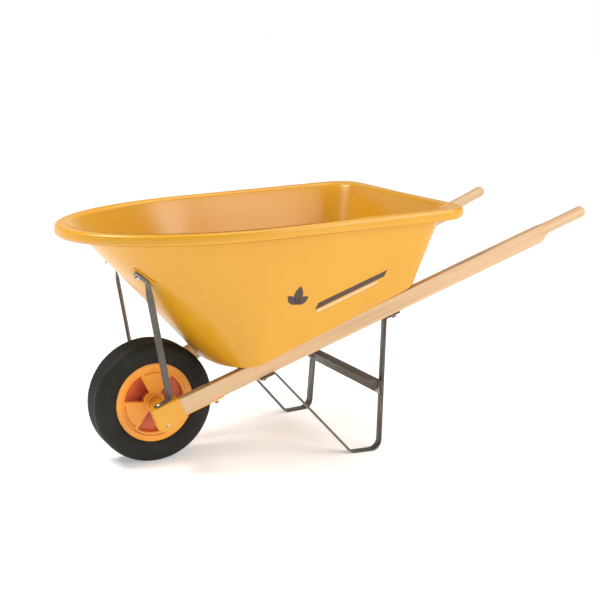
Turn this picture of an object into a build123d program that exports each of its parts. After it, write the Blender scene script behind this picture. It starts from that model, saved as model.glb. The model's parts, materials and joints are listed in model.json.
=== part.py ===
from build123d import *
from math import atan, copysign, cos, degrees, radians, sin, tan
import os

os.makedirs("parts", exist_ok=True)

# A wheelbarrow with a moulded plastic tub on two wooden rails, one wheel and two strap legs.
# +X points to the grips, the nose points to -X, +Y is the right-hand side and +Z is up.
# The origin lies on the ground, in the middle of the overall length. All sizes are in mm.

# ---- overall places ----
OVERALL_LENGTH = 1472.0
NOSE_X = -OVERALL_LENGTH / 2
TIP_X = OVERALL_LENGTH / 2
WHEEL_RADIUS = 165.0
AXLE_X = NOSE_X + 234.0
AXLE_Z = WHEEL_RADIUS

# ---- wheel, turning on a fixed axle ----
TYRE_WIDTH = 100.0
TYRE_CROWN_WIDTH = 56.0
TYRE_SHOULDER = 9.0
TYRE_BEAD_WIDTH = 84.0
HUB_RADIUS = 108.0
HUB_SEAT_RADIUS = 100.0
HUB_SEAT_WIDTH = 68.0
HUB_WIDTH = 80.0
HUB_BOSS_RADIUS = 25.0
HUB_BOSS_WIDTH = 86.0
HUB_BEAD_INNER = 92.0
HUB_PANEL_DROP = 5.0
POCKET_COUNT = 3
POCKET_SPAN = 58.0
POCKET_INNER = 30.0
POCKET_OUTER = 84.0
POCKET_DEPTH = 28.0
POCKET_START = 24.0
GROOVE_INNER = 80.0
GROOVE_OUTER = 84.0
GROOVE_DEPTH = 4.0
GROOVE_SPAN = 46.0
AXLE_RADIUS = 6.35
AXLE_HALF_LENGTH = 148.0
RUNNING_CLEARANCE = 0.05
BUSH_RADIUS = 11.0
BUSH_LENGTH = 32.0
BUSH_FLANGE_RADIUS = 15.0
BUSH_FLANGE = 2.5
THRUST_GAP = 0.5
THRUST_WASHER = 2.0
THRUST_WASHER_RADIUS = 14.0

# ---- wooden rails, which are also the handles ----
RAIL_PITCH = 20.24
RAIL_SPLAY = 5.06
RAIL_HEIGHT = 46.0
RAIL_WIDTH = 26.0
RAIL_OFFSET = 143.5
RAIL_RISE = 3.0
RAIL_EDGE = 3.0
RAIL_START = 14.0
GRIP_RADIUS = 16.5
GRIP_LENGTH = 112.0
GRIP_TAPER = 34.0
GRIP_FLAT = 1.0

# ---- moulded axle brackets, capped over the rails' front ends ----
CAP_FRONT = -42.0
CAP_REAR = 35.0
CAP_WALL = 3.5
CAP_NOSE_FILLET = 5.0
CHEEK_THICKNESS = 7.0
CHEEK_DROP = 57.0
CHEEK_REAR = 34.0
CHEEK_CORNER = 30.0
SNOUT_RADIUS = 20.0
TONGUE_END = 150.0
TONGUE_WIDTH = 20.0
AXLE_SOCKET_CLEARANCE = 0.1

# ---- bolts: carriage heads on top, washers and hexagon nuts below ----
BOLT_RADIUS = 4.0
HOLE_RADIUS = 4.25
HEAD_RADIUS = 9.0
HEAD_HEIGHT = 4.0
WASHER_RADIUS = 8.0
WASHER_THICKNESS = 1.5
NUT_ACROSS_FLATS = 13.0
NUT_HEIGHT = 6.5
BOLT_TAIL = 3.0
HEAD_SEAT = 0.4
NOSE_HEAD_SEAT = 1.1
CUT_PAST = 1.0
DRILL_LENGTH = 40.0
STRUT_FOOT_BOLT = -14.5
TONGUE_BOLT = 128.0

# ---- strap legs ----
LEG_WIDTH = 28.0
LEG_THICKNESS = 4.0
LEG_OUTSET = 19.0
LEG_LEAN = 2.9
LEG_STUB = 10.0
LEG_FRONT_BEND = 301.0
LEG_REAR_BEND = 643.5
LEG_TAB = 46.0
LEG_TAB_BOLT = 30.0
SKID_FRONT_X = AXLE_X + 508.0
SKID_REAR_X = AXLE_X + 589.0
SKID_FRONT_RADIUS = 14.0
SKID_REAR_RADIUS = 26.0
TAB_BEND_RADIUS = 8.0
BEND_CUT = 0.3

# ---- angle brace between the legs ----
BRACE_TOP_Z = 195.0
BRACE_HEIGHT = 40.0
BRACE_DEPTH = 34.0
BRACE_THICKNESS = 3.0
BRACE_BOLT_Z = 165.0
BRACE_SETBACK = 1.7

# ---- flat struts from the axle brackets to the tub's nose ----
STRUT_WIDTH = 20.0
STRUT_THICKNESS = 3.0
STRUT_FOOT_BEND = 17.0
STRUT_FOOT_INSET = 10.0
STRUT_TAB_END = 13.0
STRUT_TURN = 40.0
STRUT_TWIST_LENGTH = 40.0
STRUT_NOSE_ANGLE = 24.2
STRUT_NOSE_HEIGHT = 0.70
STRUT_TOP_BOLT = 26.0
STRUT_PAD_RISE = 3.0
STRUT_PAD_LENGTH = 66.0
STRUT_PAD_WIDTH = 30.0

# ---- tub ----
WALL = 5.0
RIM_SLOPE = 0.03
RIM_REAR_Z = 680.0
RIM_NOSE_CENTRE = AXLE_X + 236.0
RIM_REAR_X = AXLE_X + 792.0
RIM_HALF_WIDTH = 347.0
RIM_CORNER = 68.0
LIP_WIDTH = 27.0
LIP_NOSE_WIDTH = 38.0
LIP_DROP = 28.0
LIP_THICKNESS = 4.5
LIP_ROUND = 4.0
MOUTH_CORNER = 100.0
FLOOR_FRONT = 171.0
FLOOR_NOSE_CENTRE = 257.0
FLOOR_REAR = 749.0
FLOOR_HALF_WIDTH = 224.0
FLOOR_CORNER = 46.0
FLOOR_ROUND = 22.0
FLOOR_GAP = 2.5
SEAT_MARGIN = 18.0
SEAT_DEPTH = 5.5
SPOT_FACE_RADIUS = 10.5
SPOT_FACE_DEPTH = 9.0

# ---- worked-out places ----
FLOOR_SLOPE = tan(radians(RAIL_PITCH)) / cos(radians(RAIL_SPLAY))
FLOOR_PITCH = degrees(atan(FLOOR_SLOPE))
RAIL_FRAME = (
    Pos(AXLE_X, RAIL_OFFSET, AXLE_Z + RAIL_RISE) * Rot(0, 0, RAIL_SPLAY) * Rot(0, -RAIL_PITCH, 0)
)
RAIL_TOP = RAIL_HEIGHT / 2
CAP_TOP = RAIL_TOP + CAP_WALL
RAIL_TOP_LIFT = RAIL_TOP * (
    cos(radians(RAIL_PITCH)) + sin(radians(RAIL_PITCH)) * cos(radians(RAIL_SPLAY)) * FLOOR_SLOPE
)
FLOOR_LIFT = FLOOR_GAP / cos(radians(FLOOR_PITCH))
FLOOR_PLANE = Plane(
    origin=(AXLE_X, 0, AXLE_Z + RAIL_RISE + RAIL_TOP_LIFT + FLOOR_LIFT),
    x_dir=(cos(radians(FLOOR_PITCH)), 0, sin(radians(FLOOR_PITCH))),
    z_dir=(-sin(radians(FLOOR_PITCH)), 0, cos(radians(FLOOR_PITCH))),
)
RIM_PITCH = atan(RIM_SLOPE)
RIM_PLANE = Plane(
    origin=(RIM_REAR_X, 0, RIM_REAR_Z),
    x_dir=(cos(RIM_PITCH), 0, sin(RIM_PITCH)),
    z_dir=(-sin(RIM_PITCH), 0, cos(RIM_PITCH)),
)


def rail_point(station, across, above):
    """World place of a point given along, across and above a right-hand rail's axis."""
    return (RAIL_FRAME * Pos(station, across, above)).position


def rail_vector(along, across, above):
    """World direction of a vector given in the right-hand rail's own frame."""
    return rail_point(along, across, above) - rail_point(0, 0, 0)


def both_sides(name, right_part):
    """Name and mirror a right-hand piece, giving {"name_left": ..., "name_right": ...}."""
    return {name + "_left": mirror(right_part, about=Plane.XZ), name + "_right": right_part}


def on_both_sides(right_parts):
    """Put right-hand pieces and their mirror images in one group of separate solids."""
    solids = []
    for part in right_parts:
        solids += [*part.solids(), *mirror(part, about=Plane.XZ).solids()]
    return Compound(children=solids)


def along_axle(radius, start, end):
    """A round bar on the axle line between two distances from the centre plane."""
    return Pos(AXLE_X, (start + end) / 2, AXLE_Z) * Rot(90, 0, 0) * Cylinder(radius, end - start)


# ---- fasteners, built along +Z with the clamped stack between z = -grip and z = 0 ----
def carriage_bolt(grip, radius=BOLT_RADIUS):
    """Domed head above z = 0 and a shank long enough for washer, nut and a short tail."""
    length = grip + WASHER_THICKNESS + NUT_HEIGHT + BOLT_TAIL
    shank = Pos(0, 0, -length / 2) * Cylinder(radius, length)
    dome_radius = (HEAD_RADIUS**2 + HEAD_HEIGHT**2) / (2 * HEAD_HEIGHT)
    dome = Pos(0, 0, HEAD_HEIGHT - dome_radius) * Sphere(dome_radius)
    head = dome & Pos(0, 0, HEAD_HEIGHT / 2) * Cylinder(HEAD_RADIUS, HEAD_HEIGHT)
    return head + shank


def washer(grip):
    """Flat washer under the clamped stack."""
    ring = Cylinder(WASHER_RADIUS, WASHER_THICKNESS) - Cylinder(BOLT_RADIUS, WASHER_THICKNESS)
    return Pos(0, 0, -grip - WASHER_THICKNESS / 2) * ring


def nut(grip):
    """Hexagon nut under the washer."""
    hexagon = RegularPolygon(NUT_ACROSS_FLATS / 2, 6, major_radius=False) - Circle(BOLT_RADIUS)
    return Pos(0, 0, -grip - WASHER_THICKNESS - NUT_HEIGHT) * extrude(hexagon, NUT_HEIGHT)


def hole(depth):
    """Clearance hole through a depth of material below z = 0, cut a little past both faces."""
    return Pos(0, 0, -depth / 2) * Cylinder(HOLE_RADIUS, depth + 2 * CUT_PAST)


# ---- wheel ----
def tyre():
    """Solid rubber tyre: round shoulders over a flat crown, and a bead in the hub's seat."""
    crown = TYRE_CROWN_WIDTH / 2
    side = TYRE_WIDTH / 2
    bead = TYRE_BEAD_WIDTH / 2
    seat = HUB_SEAT_WIDTH / 2
    widest = (HUB_RADIUS + WHEEL_RADIUS) / 2
    outline = [
        Line((-crown, WHEEL_RADIUS), (crown, WHEEL_RADIUS)),
        ThreePointArc(
            (crown, WHEEL_RADIUS), (side - TYRE_SHOULDER, WHEEL_RADIUS - TYRE_SHOULDER), (side, widest)
        ),
        Line((side, widest), (bead, HUB_RADIUS)),
        Line((bead, HUB_RADIUS), (seat, HUB_RADIUS)),
        Line((seat, HUB_RADIUS), (seat, HUB_SEAT_RADIUS)),
        Line((seat, HUB_SEAT_RADIUS), (-seat, HUB_SEAT_RADIUS)),
        Line((-seat, HUB_SEAT_RADIUS), (-seat, HUB_RADIUS)),
        Line((-seat, HUB_RADIUS), (-bead, HUB_RADIUS)),
        Line((-bead, HUB_RADIUS), (-side, widest)),
        ThreePointArc(
            (-side, widest), (TYRE_SHOULDER - side, WHEEL_RADIUS - TYRE_SHOULDER), (-crown, WHEEL_RADIUS)
        ),
    ]
    section = make_face(Wire(outline))
    ring = revolve(section, axis=Axis.X)
    return Pos(AXLE_X, 0, AXLE_Z) * Rot(0, 0, 90) * ring


def ring_sector(inner, outer, span, middle, height):
    """A piece of a ring about Z, centred on an angle, standing on z = 0."""
    reach = 2 * outer
    half = radians(span) / 2
    turn = radians(middle)
    wedge = Polygon(
        (0, 0),
        (reach * cos(turn - half), reach * sin(turn - half)),
        (reach * cos(turn + half), reach * sin(turn + half)),
        align=None,
    )
    return extrude((Circle(outer) - Circle(inner)) & wedge, height)


def wheel_hub():
    """One-piece moulded hub with three deep pockets and three flat panels on each face."""
    half = HUB_WIDTH / 2
    seat = HUB_SEAT_WIDTH / 2
    body = Cylinder(HUB_RADIUS, HUB_WIDTH)
    body -= Cylinder(HUB_RADIUS, HUB_SEAT_WIDTH) - Cylinder(HUB_SEAT_RADIUS, HUB_SEAT_WIDTH)
    face_drop = Pos(0, 0, half - HUB_PANEL_DROP) * extrude(
        Circle(HUB_BEAD_INNER) - Circle(HUB_BOSS_RADIUS), HUB_PANEL_DROP
    )
    body -= face_drop + mirror(face_drop, about=Plane.XY)
    step = 360 / POCKET_COUNT
    for number in range(POCKET_COUNT):
        angle = POCKET_START + number * step
        pocket = Pos(0, 0, half - POCKET_DEPTH) * ring_sector(
            POCKET_INNER, POCKET_OUTER, POCKET_SPAN, angle, POCKET_DEPTH
        )
        groove = Pos(0, 0, half - HUB_PANEL_DROP - GROOVE_DEPTH) * ring_sector(
            GROOVE_INNER, GROOVE_OUTER, GROOVE_SPAN, angle + step / 2, GROOVE_DEPTH
        )
        for cut in (pocket, groove):
            body -= cut + mirror(cut, about=Plane.XY)
    body += Cylinder(HUB_BOSS_RADIUS, HUB_BOSS_WIDTH)
    body -= Cylinder(BUSH_RADIUS, HUB_BOSS_WIDTH)
    return Pos(AXLE_X, 0, AXLE_Z) * Rot(90, 0, 0) * body


def bush():
    """Right-hand flanged plain bush, pushed into the hub."""
    face = HUB_BOSS_WIDTH / 2
    body = along_axle(BUSH_RADIUS, face - BUSH_LENGTH, face)
    body += along_axle(BUSH_FLANGE_RADIUS, face, face + BUSH_FLANGE)
    return body - along_axle(AXLE_RADIUS + RUNNING_CLEARANCE, face - BUSH_LENGTH, face + BUSH_FLANGE)


def thrust_washer():
    """Right-hand washer on the axle, between the bush flange and the bracket's snout."""
    start = HUB_BOSS_WIDTH / 2 + BUSH_FLANGE + THRUST_GAP
    end = start + THRUST_WASHER
    return along_axle(THRUST_WASHER_RADIUS, start, end) - along_axle(
        AXLE_RADIUS + AXLE_SOCKET_CLEARANCE, start, end
    )


# ---- rails and axle brackets ----
def rail_blank():
    """Right-hand rail in its own frame: square stock, tapering to a round grip under a flush top."""
    grip_rise = RAIL_TOP - GRIP_RADIUS
    tip_plan = TIP_X - GRIP_RADIUS - AXLE_X
    pitch, splay = radians(RAIL_PITCH), radians(RAIL_SPLAY)
    end = (tip_plan + grip_rise * sin(pitch) * cos(splay)) / (cos(pitch) * cos(splay))
    stock_end = end - GRIP_LENGTH
    stock = Pos((RAIL_START + stock_end - GRIP_TAPER) / 2, 0, 0) * Box(
        stock_end - GRIP_TAPER - RAIL_START, RAIL_WIDTH, RAIL_HEIGHT
    )
    stock = fillet(stock.edges().filter_by(Axis.X), RAIL_EDGE)
    stock_section = Plane((stock_end - GRIP_TAPER, 0, 0), x_dir=(0, 1, 0), z_dir=(1, 0, 0))
    grip_section = Plane((stock_end, 0, grip_rise), x_dir=(0, 1, 0), z_dir=(1, 0, 0))
    taper = loft(
        [
            stock_section * RectangleRounded(RAIL_WIDTH, RAIL_HEIGHT, RAIL_EDGE),
            grip_section
            * RectangleRounded(2 * GRIP_RADIUS, 2 * GRIP_RADIUS, GRIP_RADIUS - GRIP_FLAT / 2),
        ]
    )
    grip = Pos((stock_end + end) / 2, 0, grip_rise) * Rot(0, 90, 0) * Cylinder(
        GRIP_RADIUS, end - stock_end
    )
    knob = Pos(end, 0, grip_rise) * Sphere(GRIP_RADIUS)
    return stock + taper + (grip + knob)


def rail_bolt_places():
    """Stations of the bolts through a rail: the bracket's tongue, then the leg's two tabs."""
    return [TONGUE_BOLT, LEG_FRONT_BEND - LEG_TAB_BOLT, LEG_REAR_BEND + LEG_TAB_BOLT]


def rail():
    """Right-hand wooden rail with its bolt holes."""
    blank = rail_blank()
    for station in rail_bolt_places():
        blank -= Pos(station, 0, RAIL_TOP) * hole(RAIL_HEIGHT)
    return RAIL_FRAME * blank


def axle_bracket():
    """Right-hand moulded bracket: end cap, round cheek, snout round the axle and rear tongue."""
    outer = RAIL_WIDTH / 2 + CAP_WALL
    inner = -RAIL_WIDTH / 2 - CHEEK_THICKNESS
    cap = Pos((CAP_FRONT + CAP_REAR) / 2, (outer + inner) / 2, 0) * Box(
        CAP_REAR - CAP_FRONT, outer - inner, 2 * CAP_TOP
    )
    cap = fillet(cap.edges().filter_by(Axis.Z).group_by(Axis.X)[0], CAP_NOSE_FILLET)
    cheek_plane = Plane((0, inner, 0), x_dir=(1, 0, 0), z_dir=(0, -1, 0))
    cheek_outline = Pos((CAP_FRONT + CHEEK_REAR) / 2, (CAP_TOP - CHEEK_DROP) / 2) * Rectangle(
        CHEEK_REAR - CAP_FRONT, CAP_TOP + CHEEK_DROP
    )
    cheek_outline = fillet(cheek_outline.vertices().group_by(Axis.Y)[0], CHEEK_CORNER)
    cheek = extrude(cheek_plane * cheek_outline, -CHEEK_THICKNESS)
    tongue = Pos((CAP_REAR + TONGUE_END) / 2, 0, -RAIL_TOP - CAP_WALL / 2) * Box(
        TONGUE_END - CAP_REAR, TONGUE_WIDTH, CAP_WALL
    )
    body = RAIL_FRAME * (cap + cheek + tongue)
    snout_start = HUB_BOSS_WIDTH / 2 + BUSH_FLANGE + THRUST_GAP + THRUST_WASHER
    body += along_axle(SNOUT_RADIUS, snout_start, RAIL_OFFSET)
    body -= RAIL_FRAME * rail_blank()
    body -= along_axle(AXLE_RADIUS + AXLE_SOCKET_CLEARANCE, snout_start, AXLE_HALF_LENGTH)
    body -= RAIL_FRAME * Pos(STRUT_FOOT_BOLT, 0, CAP_TOP) * hole(2 * CAP_TOP)
    body -= RAIL_FRAME * Pos(TONGUE_BOLT, 0, -RAIL_TOP) * hole(CAP_WALL)
    return body


# ---- legs and their brace ----
def leg_frame():
    """Plane of the right-hand leg: local X along the ground from the axle, local Z up to the rail."""
    foot = Pos(AXLE_X, RAIL_OFFSET, 0) * Rot(0, 0, RAIL_SPLAY) * Pos(0, LEG_OUTSET, 0)
    return foot * Rot(LEG_LEAN, 0, 0)


def under_rail(station):
    """Place at the height of a rail's underside, in the leaning plane of the leg."""
    pitch = radians(RAIL_PITCH)
    height = AXLE_Z + RAIL_RISE + station * sin(pitch) - RAIL_TOP * cos(pitch)
    return station * cos(pitch) + RAIL_TOP * sin(pitch), height / cos(radians(LEG_LEAN))


def skid_corners():
    """Front and rear corners of the skid's upper line, low enough to be trimmed flat on the ground."""
    plan = cos(radians(RAIL_SPLAY))
    height = LEG_THICKNESS - LEG_WIDTH / 2 * sin(radians(LEG_LEAN))
    return [((x - AXLE_X) / plan, height) for x in (SKID_FRONT_X, SKID_REAR_X)]


def brace_bolt_place():
    """Place on the back of the right-hand leg's upright, with local Z pointing to the rear."""
    low = Vector(*skid_corners()[1])
    high = Vector(*under_rail(LEG_REAR_BEND))
    part_way = (BRACE_BOLT_Z - low.Y) / (high.Y - low.Y)
    slant = degrees(atan((high.X - low.X) / (high.Y - low.Y)))
    front_face = low + (high - low) * part_way
    return (
        leg_frame() * Pos(front_face.X, 0, front_face.Y) * Rot(0, 90 + slant, 0) * Pos(0, 0, LEG_THICKNESS)
    )


def leg_tab(bend, end):
    """Right-hand tab of the leg, flat under the rail from near a bend to the strap's end."""
    inset = under_rail(bend)[1] * sin(radians(LEG_LEAN))
    start = bend + copysign(TAB_BEND_RADIUS, end - bend)
    return Pos((start + end) / 2, LEG_OUTSET - inset, -RAIL_TOP - LEG_THICKNESS / 2) * Box(
        abs(end - start), LEG_WIDTH, LEG_THICKNESS
    )


def leg():
    """Right-hand leg: one steel strap, bent to a skid, with a tab under the rail at each end."""
    points = [
        under_rail(LEG_FRONT_BEND - LEG_STUB),
        under_rail(LEG_FRONT_BEND),
        *skid_corners(),
        under_rail(LEG_REAR_BEND),
        under_rail(LEG_REAR_BEND + LEG_STUB),
    ]
    radii = [TAB_BEND_RADIUS, SKID_FRONT_RADIUS, SKID_REAR_RADIUS, TAB_BEND_RADIUS]
    upper_line = FilletPolyline(*points, radius=radii)
    band = make_face(offset(upper_line, LEG_THICKNESS, side=Side.RIGHT))
    strap = leg_frame() * extrude(Plane.XZ * band, LEG_WIDTH / 2, both=True)
    tabs = leg_tab(LEG_FRONT_BEND, LEG_FRONT_BEND - LEG_TAB) + leg_tab(
        LEG_REAR_BEND, LEG_REAR_BEND + LEG_TAB
    )
    for station in rail_bolt_places()[1:]:
        tabs -= Pos(station, 0, -RAIL_TOP) * hole(LEG_THICKNESS)
    middle = (LEG_FRONT_BEND + LEG_REAR_BEND) / 2
    rail_zone = Pos(middle, 0, 0) * Box(LEG_REAR_BEND, 2 * LEG_WIDTH, RAIL_HEIGHT)
    ground = Pos(SKID_FRONT_X, 2 * RAIL_OFFSET, -LEG_THICKNESS) * Box(
        LEG_REAR_BEND, 4 * RAIL_OFFSET, 2 * LEG_THICKNESS
    )
    strap = strap + RAIL_FRAME * tabs - RAIL_FRAME * rail_zone - ground
    return strap - brace_bolt_place() * hole(LEG_THICKNESS)


def cross_brace():
    """Steel angle between the legs, with a flat ear bolted to the front of each upright."""
    ear_middle = (BRACE_TOP_Z - BRACE_HEIGHT / 2) - BRACE_BOLT_Z
    ear = Pos(-ear_middle, 0, -LEG_THICKNESS - BRACE_THICKNESS / 2) * Box(
        BRACE_HEIGHT, LEG_WIDTH, BRACE_THICKNESS
    )
    ear = brace_bolt_place() * (ear - hole(LEG_THICKNESS + BRACE_THICKNESS))
    join = (
        brace_bolt_place()
        * Pos(-ear_middle, -LEG_WIDTH / 2, -LEG_THICKNESS - BRACE_THICKNESS / 2)
    ).position
    web = Pos(join.X - BRACE_SETBACK, 0, BRACE_TOP_Z - BRACE_HEIGHT / 2) * Box(
        BRACE_THICKNESS, 2 * join.Y + BRACE_THICKNESS, BRACE_HEIGHT
    )
    flange = Pos(join.X - BRACE_DEPTH / 2, 0, BRACE_TOP_Z - BRACE_THICKNESS / 2) * Box(
        BRACE_DEPTH, 2 * join.Y - BRACE_THICKNESS, BRACE_THICKNESS
    )
    return web + flange + ear + mirror(ear, about=Plane.XZ)


# ---- tub ----
def tub_outline(plane, front, nose_centre, rear, half_width, corner, inset=0.0):
    """Half-elliptical nose, parallel sides and a straight back with round corners, on a plane."""
    side = half_width - inset
    back = rear - inset
    edges = [
        EllipticalCenterArc(
            (nose_centre, 0), nose_centre - front - inset, side, start_angle=90, arc_size=180
        ),
        Line((nose_centre, -side), (back, -side)),
        Line((back, -side), (back, side)),
        Line((back, side), (nose_centre, side)),
    ]
    outline = make_face(Wire(edges))
    corners = outline.vertices().group_by(Axis.X)[-1]
    return plane * fillet(corners, corner - inset)


def rim_outline(inset=0.0):
    """The lip's outer edge, or a line a distance inside it, on the rim plane."""
    return tub_outline(
        RIM_PLANE,
        (NOSE_X - RIM_REAR_X) / cos(RIM_PITCH),
        (RIM_NOSE_CENTRE - RIM_REAR_X) / cos(RIM_PITCH),
        0.0,
        RIM_HALF_WIDTH,
        RIM_CORNER,
        inset,
    )


def mouth_outline(inset=0.0):
    """Top of the tub's wall, where it runs into the lip."""
    return tub_outline(
        RIM_PLANE,
        (NOSE_X - RIM_REAR_X) / cos(RIM_PITCH) + LIP_NOSE_WIDTH,
        (RIM_NOSE_CENTRE - RIM_REAR_X) / cos(RIM_PITCH),
        -LIP_WIDTH,
        RIM_HALF_WIDTH - LIP_WIDTH,
        MOUTH_CORNER,
        inset,
    )


def floor_outline(inset=0.0):
    """Foot of the tub's wall on the sloping floor, before its edge is rounded."""
    plane = FLOOR_PLANE.offset(WALL) if inset else FLOOR_PLANE
    return tub_outline(
        plane,
        FLOOR_FRONT,
        FLOOR_NOSE_CENTRE,
        FLOOR_REAR,
        FLOOR_HALF_WIDTH,
        FLOOR_CORNER,
        inset,
    )


def wall_point(nose_angle, height):
    """Place on the right-hand nose wall: angle round the nose, height from floor 0 to mouth 1."""
    turn = radians(nose_angle)
    floor_nose = FLOOR_NOSE_CENTRE - FLOOR_FRONT
    foot = FLOOR_PLANE.from_local_coords(
        (FLOOR_NOSE_CENTRE - floor_nose * cos(turn), FLOOR_HALF_WIDTH * sin(turn), 0)
    )
    mouth_front = (NOSE_X - RIM_REAR_X) / cos(RIM_PITCH) + LIP_NOSE_WIDTH
    mouth_centre = (RIM_NOSE_CENTRE - RIM_REAR_X) / cos(RIM_PITCH)
    top = RIM_PLANE.from_local_coords(
        (
            mouth_centre - (mouth_centre - mouth_front) * cos(turn),
            (RIM_HALF_WIDTH - LIP_WIDTH) * sin(turn),
            0,
        )
    )
    return foot + (top - foot) * height


def strut_pad_plane():
    """Outer face of the right-hand pad on the nose: X along the strut's tab, Z out of the wall."""
    step = 0.01
    place = wall_point(STRUT_NOSE_ANGLE, STRUT_NOSE_HEIGHT)
    up = wall_point(STRUT_NOSE_ANGLE, STRUT_NOSE_HEIGHT + step) - place
    round_nose = wall_point(STRUT_NOSE_ANGLE + step, STRUT_NOSE_HEIGHT) - place
    outward = up.cross(round_nose).normalized()
    if outward.X > 0:
        outward = -outward
    forward = Vector(-1, 0, 0)
    tab_way = (forward - outward * forward.dot(outward)).normalized()
    return Plane(origin=place + outward * STRUT_PAD_RISE, x_dir=tab_way, z_dir=outward)


def tray_bolt_places():
    """Stations of the bolts that pass through the tub's floor, a rail and a leg's tab."""
    return rail_bolt_places()[1:]


def tub():
    """Moulded tub: sloping floor on the rails, sloping walls and a lip with a turned-down skirt."""
    outer = loft([floor_outline(), mouth_outline()], ruled=True)
    outer = fillet(outer.faces().sort_by(Axis.Z)[0].edges(), FLOOR_ROUND)
    cavity = loft([floor_outline(WALL), mouth_outline(WALL)], ruled=True)
    cavity = fillet(cavity.faces().sort_by(Axis.Z)[0].edges(), FLOOR_ROUND - WALL)
    down = (0, 0, -1)
    lip = extrude(rim_outline(), LIP_DROP, dir=down)
    lip = fillet(lip.faces().sort_by(Axis.Z)[-1].edges(), LIP_ROUND)
    under_lip = Pos(0, 0, -LIP_THICKNESS) * extrude(rim_outline(LIP_THICKNESS), LIP_DROP, dir=down)
    body = (lip - under_lip) + outer
    pad = strut_pad_plane().offset(-STRUT_PAD_RISE) * Pos(-STRUT_TOP_BOLT / 2, 0, 0) * Box(
        STRUT_PAD_LENGTH, STRUT_PAD_WIDTH, 2 * STRUT_PAD_RISE
    )
    body += pad + mirror(pad, about=Plane.XZ)
    seat_start = LEG_FRONT_BEND - LEG_TAB - SEAT_MARGIN
    seat_end = LEG_REAR_BEND + LEG_TAB + SEAT_MARGIN
    seat = RAIL_FRAME * Pos((seat_start + seat_end) / 2, 0, RAIL_TOP + SEAT_DEPTH / 2) * Box(
        seat_end - seat_start, RAIL_WIDTH, SEAT_DEPTH
    )
    body += seat + mirror(seat, about=Plane.XZ)
    body -= cavity
    drill = strut_pad_plane() * Pos(0, 0, -WALL) * Cylinder(HOLE_RADIUS, DRILL_LENGTH)
    spot_face_middle = RAIL_TOP + FLOOR_GAP + WALL + SPOT_FACE_DEPTH / 2
    for station in tray_bolt_places():
        drill += RAIL_FRAME * Pos(station, 0, RAIL_TOP) * Cylinder(HOLE_RADIUS, DRILL_LENGTH)
        drill += RAIL_FRAME * Pos(station, 0, spot_face_middle) * Cylinder(
            SPOT_FACE_RADIUS, SPOT_FACE_DEPTH
        )
    return body - drill - mirror(drill, about=Plane.XZ)


# ---- struts from the axle brackets to the nose ----
def strut():
    """Right-hand flat strut: foot tab on the bracket, a turned span and a tab on the nose pad."""
    half = STRUT_THICKNESS / 2
    lift = CAP_TOP + half
    pad = strut_pad_plane()
    top_bend = pad.from_local_coords((-STRUT_TOP_BOLT, 0, half))
    foot_bolt = rail_point(STRUT_FOOT_BOLT, 0, lift)
    foot_bend = rail_point(STRUT_FOOT_BEND, -STRUT_FOOT_INSET, lift)
    along = (foot_bend - foot_bolt).normalized()
    across = rail_vector(0, 0, 1).cross(along)
    span = (top_bend - foot_bend).normalized()
    turned = Vector(cos(radians(90 - STRUT_TURN)), sin(radians(90 - STRUT_TURN)), 0)
    turned = (turned - span * span.dot(turned)).normalized()
    foot_across = (across - span * span.dot(across)).normalized()
    top_across = -(pad.y_dir - span * span.dot(pad.y_dir)).normalized()
    ease = TAB_BEND_RADIUS / 2

    def section(place, way, width_way):
        return Plane(origin=place, x_dir=width_way, z_dir=way) * Rectangle(STRUT_WIDTH, STRUT_THICKNESS)

    tab_way = pad.x_dir
    sections = [
        section(foot_bolt - along * STRUT_TAB_END, along, across),
        section(foot_bend - along * ease, along, across),
        section(foot_bend + (span - along) * ease * BEND_CUT, (along + span).normalized(), across),
        section(foot_bend + span * ease, span, foot_across),
        section(foot_bend + span * STRUT_TWIST_LENGTH, span, turned),
        section(top_bend - span * STRUT_TWIST_LENGTH, span, turned),
        section(top_bend - span * ease, span, top_across),
        section(top_bend + tab_way * ease, tab_way, -pad.y_dir),
        section(pad.from_local_coords((STRUT_TAB_END, 0, half)), tab_way, -pad.y_dir),
    ]
    strap = loft(sections, ruled=True)
    strap -= RAIL_FRAME * Pos(STRUT_FOOT_BOLT, 0, CAP_TOP + STRUT_THICKNESS) * hole(STRUT_THICKNESS)
    return strap - pad * Pos(0, 0, STRUT_THICKNESS) * hole(STRUT_THICKNESS)


# ---- bolt places: local Z points out of the head, the grip is what the bolt clamps ----
def bolt_groups():
    """Name, right-hand places and grip of every kind of bolt."""
    pad = strut_pad_plane()
    wall_across = WALL * Vector(pad.z_dir.X, pad.z_dir.Y).length + NOSE_HEAD_SEAT
    nose_depth = STRUT_PAD_RISE + wall_across
    inside_nose = Plane(origin=pad.origin - pad.z_dir * nose_depth, x_dir=pad.x_dir, z_dir=-pad.z_dir)
    floor_top = RAIL_TOP + FLOOR_GAP + WALL + HEAD_SEAT
    return {
        "tray": (
            [RAIL_FRAME * Pos(station, 0, floor_top) for station in tray_bolt_places()],
            floor_top + RAIL_TOP + LEG_THICKNESS,
        ),
        "bracket": ([RAIL_FRAME * Pos(TONGUE_BOLT, 0, RAIL_TOP)], RAIL_HEIGHT + CAP_WALL),
        "strut_foot": (
            [RAIL_FRAME * Pos(STRUT_FOOT_BOLT, 0, CAP_TOP + STRUT_THICKNESS)],
            2 * CAP_TOP + STRUT_THICKNESS,
        ),
        "strut_top": ([inside_nose.location], nose_depth + STRUT_THICKNESS),
        "brace": ([brace_bolt_place()], LEG_THICKNESS + BRACE_THICKNESS),
    }


def fasteners():
    """One node of bolts, one of washers and one of nuts for every kind of bolt."""
    nodes = {}
    for name, (places, grip) in bolt_groups().items():
        for kind, make in (("bolts", carriage_bolt), ("washers", washer), ("nuts", nut)):
            pieces = [place * make(grip) for place in places]
            nodes[name + "_" + kind] = on_both_sides(pieces)
    return nodes


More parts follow.
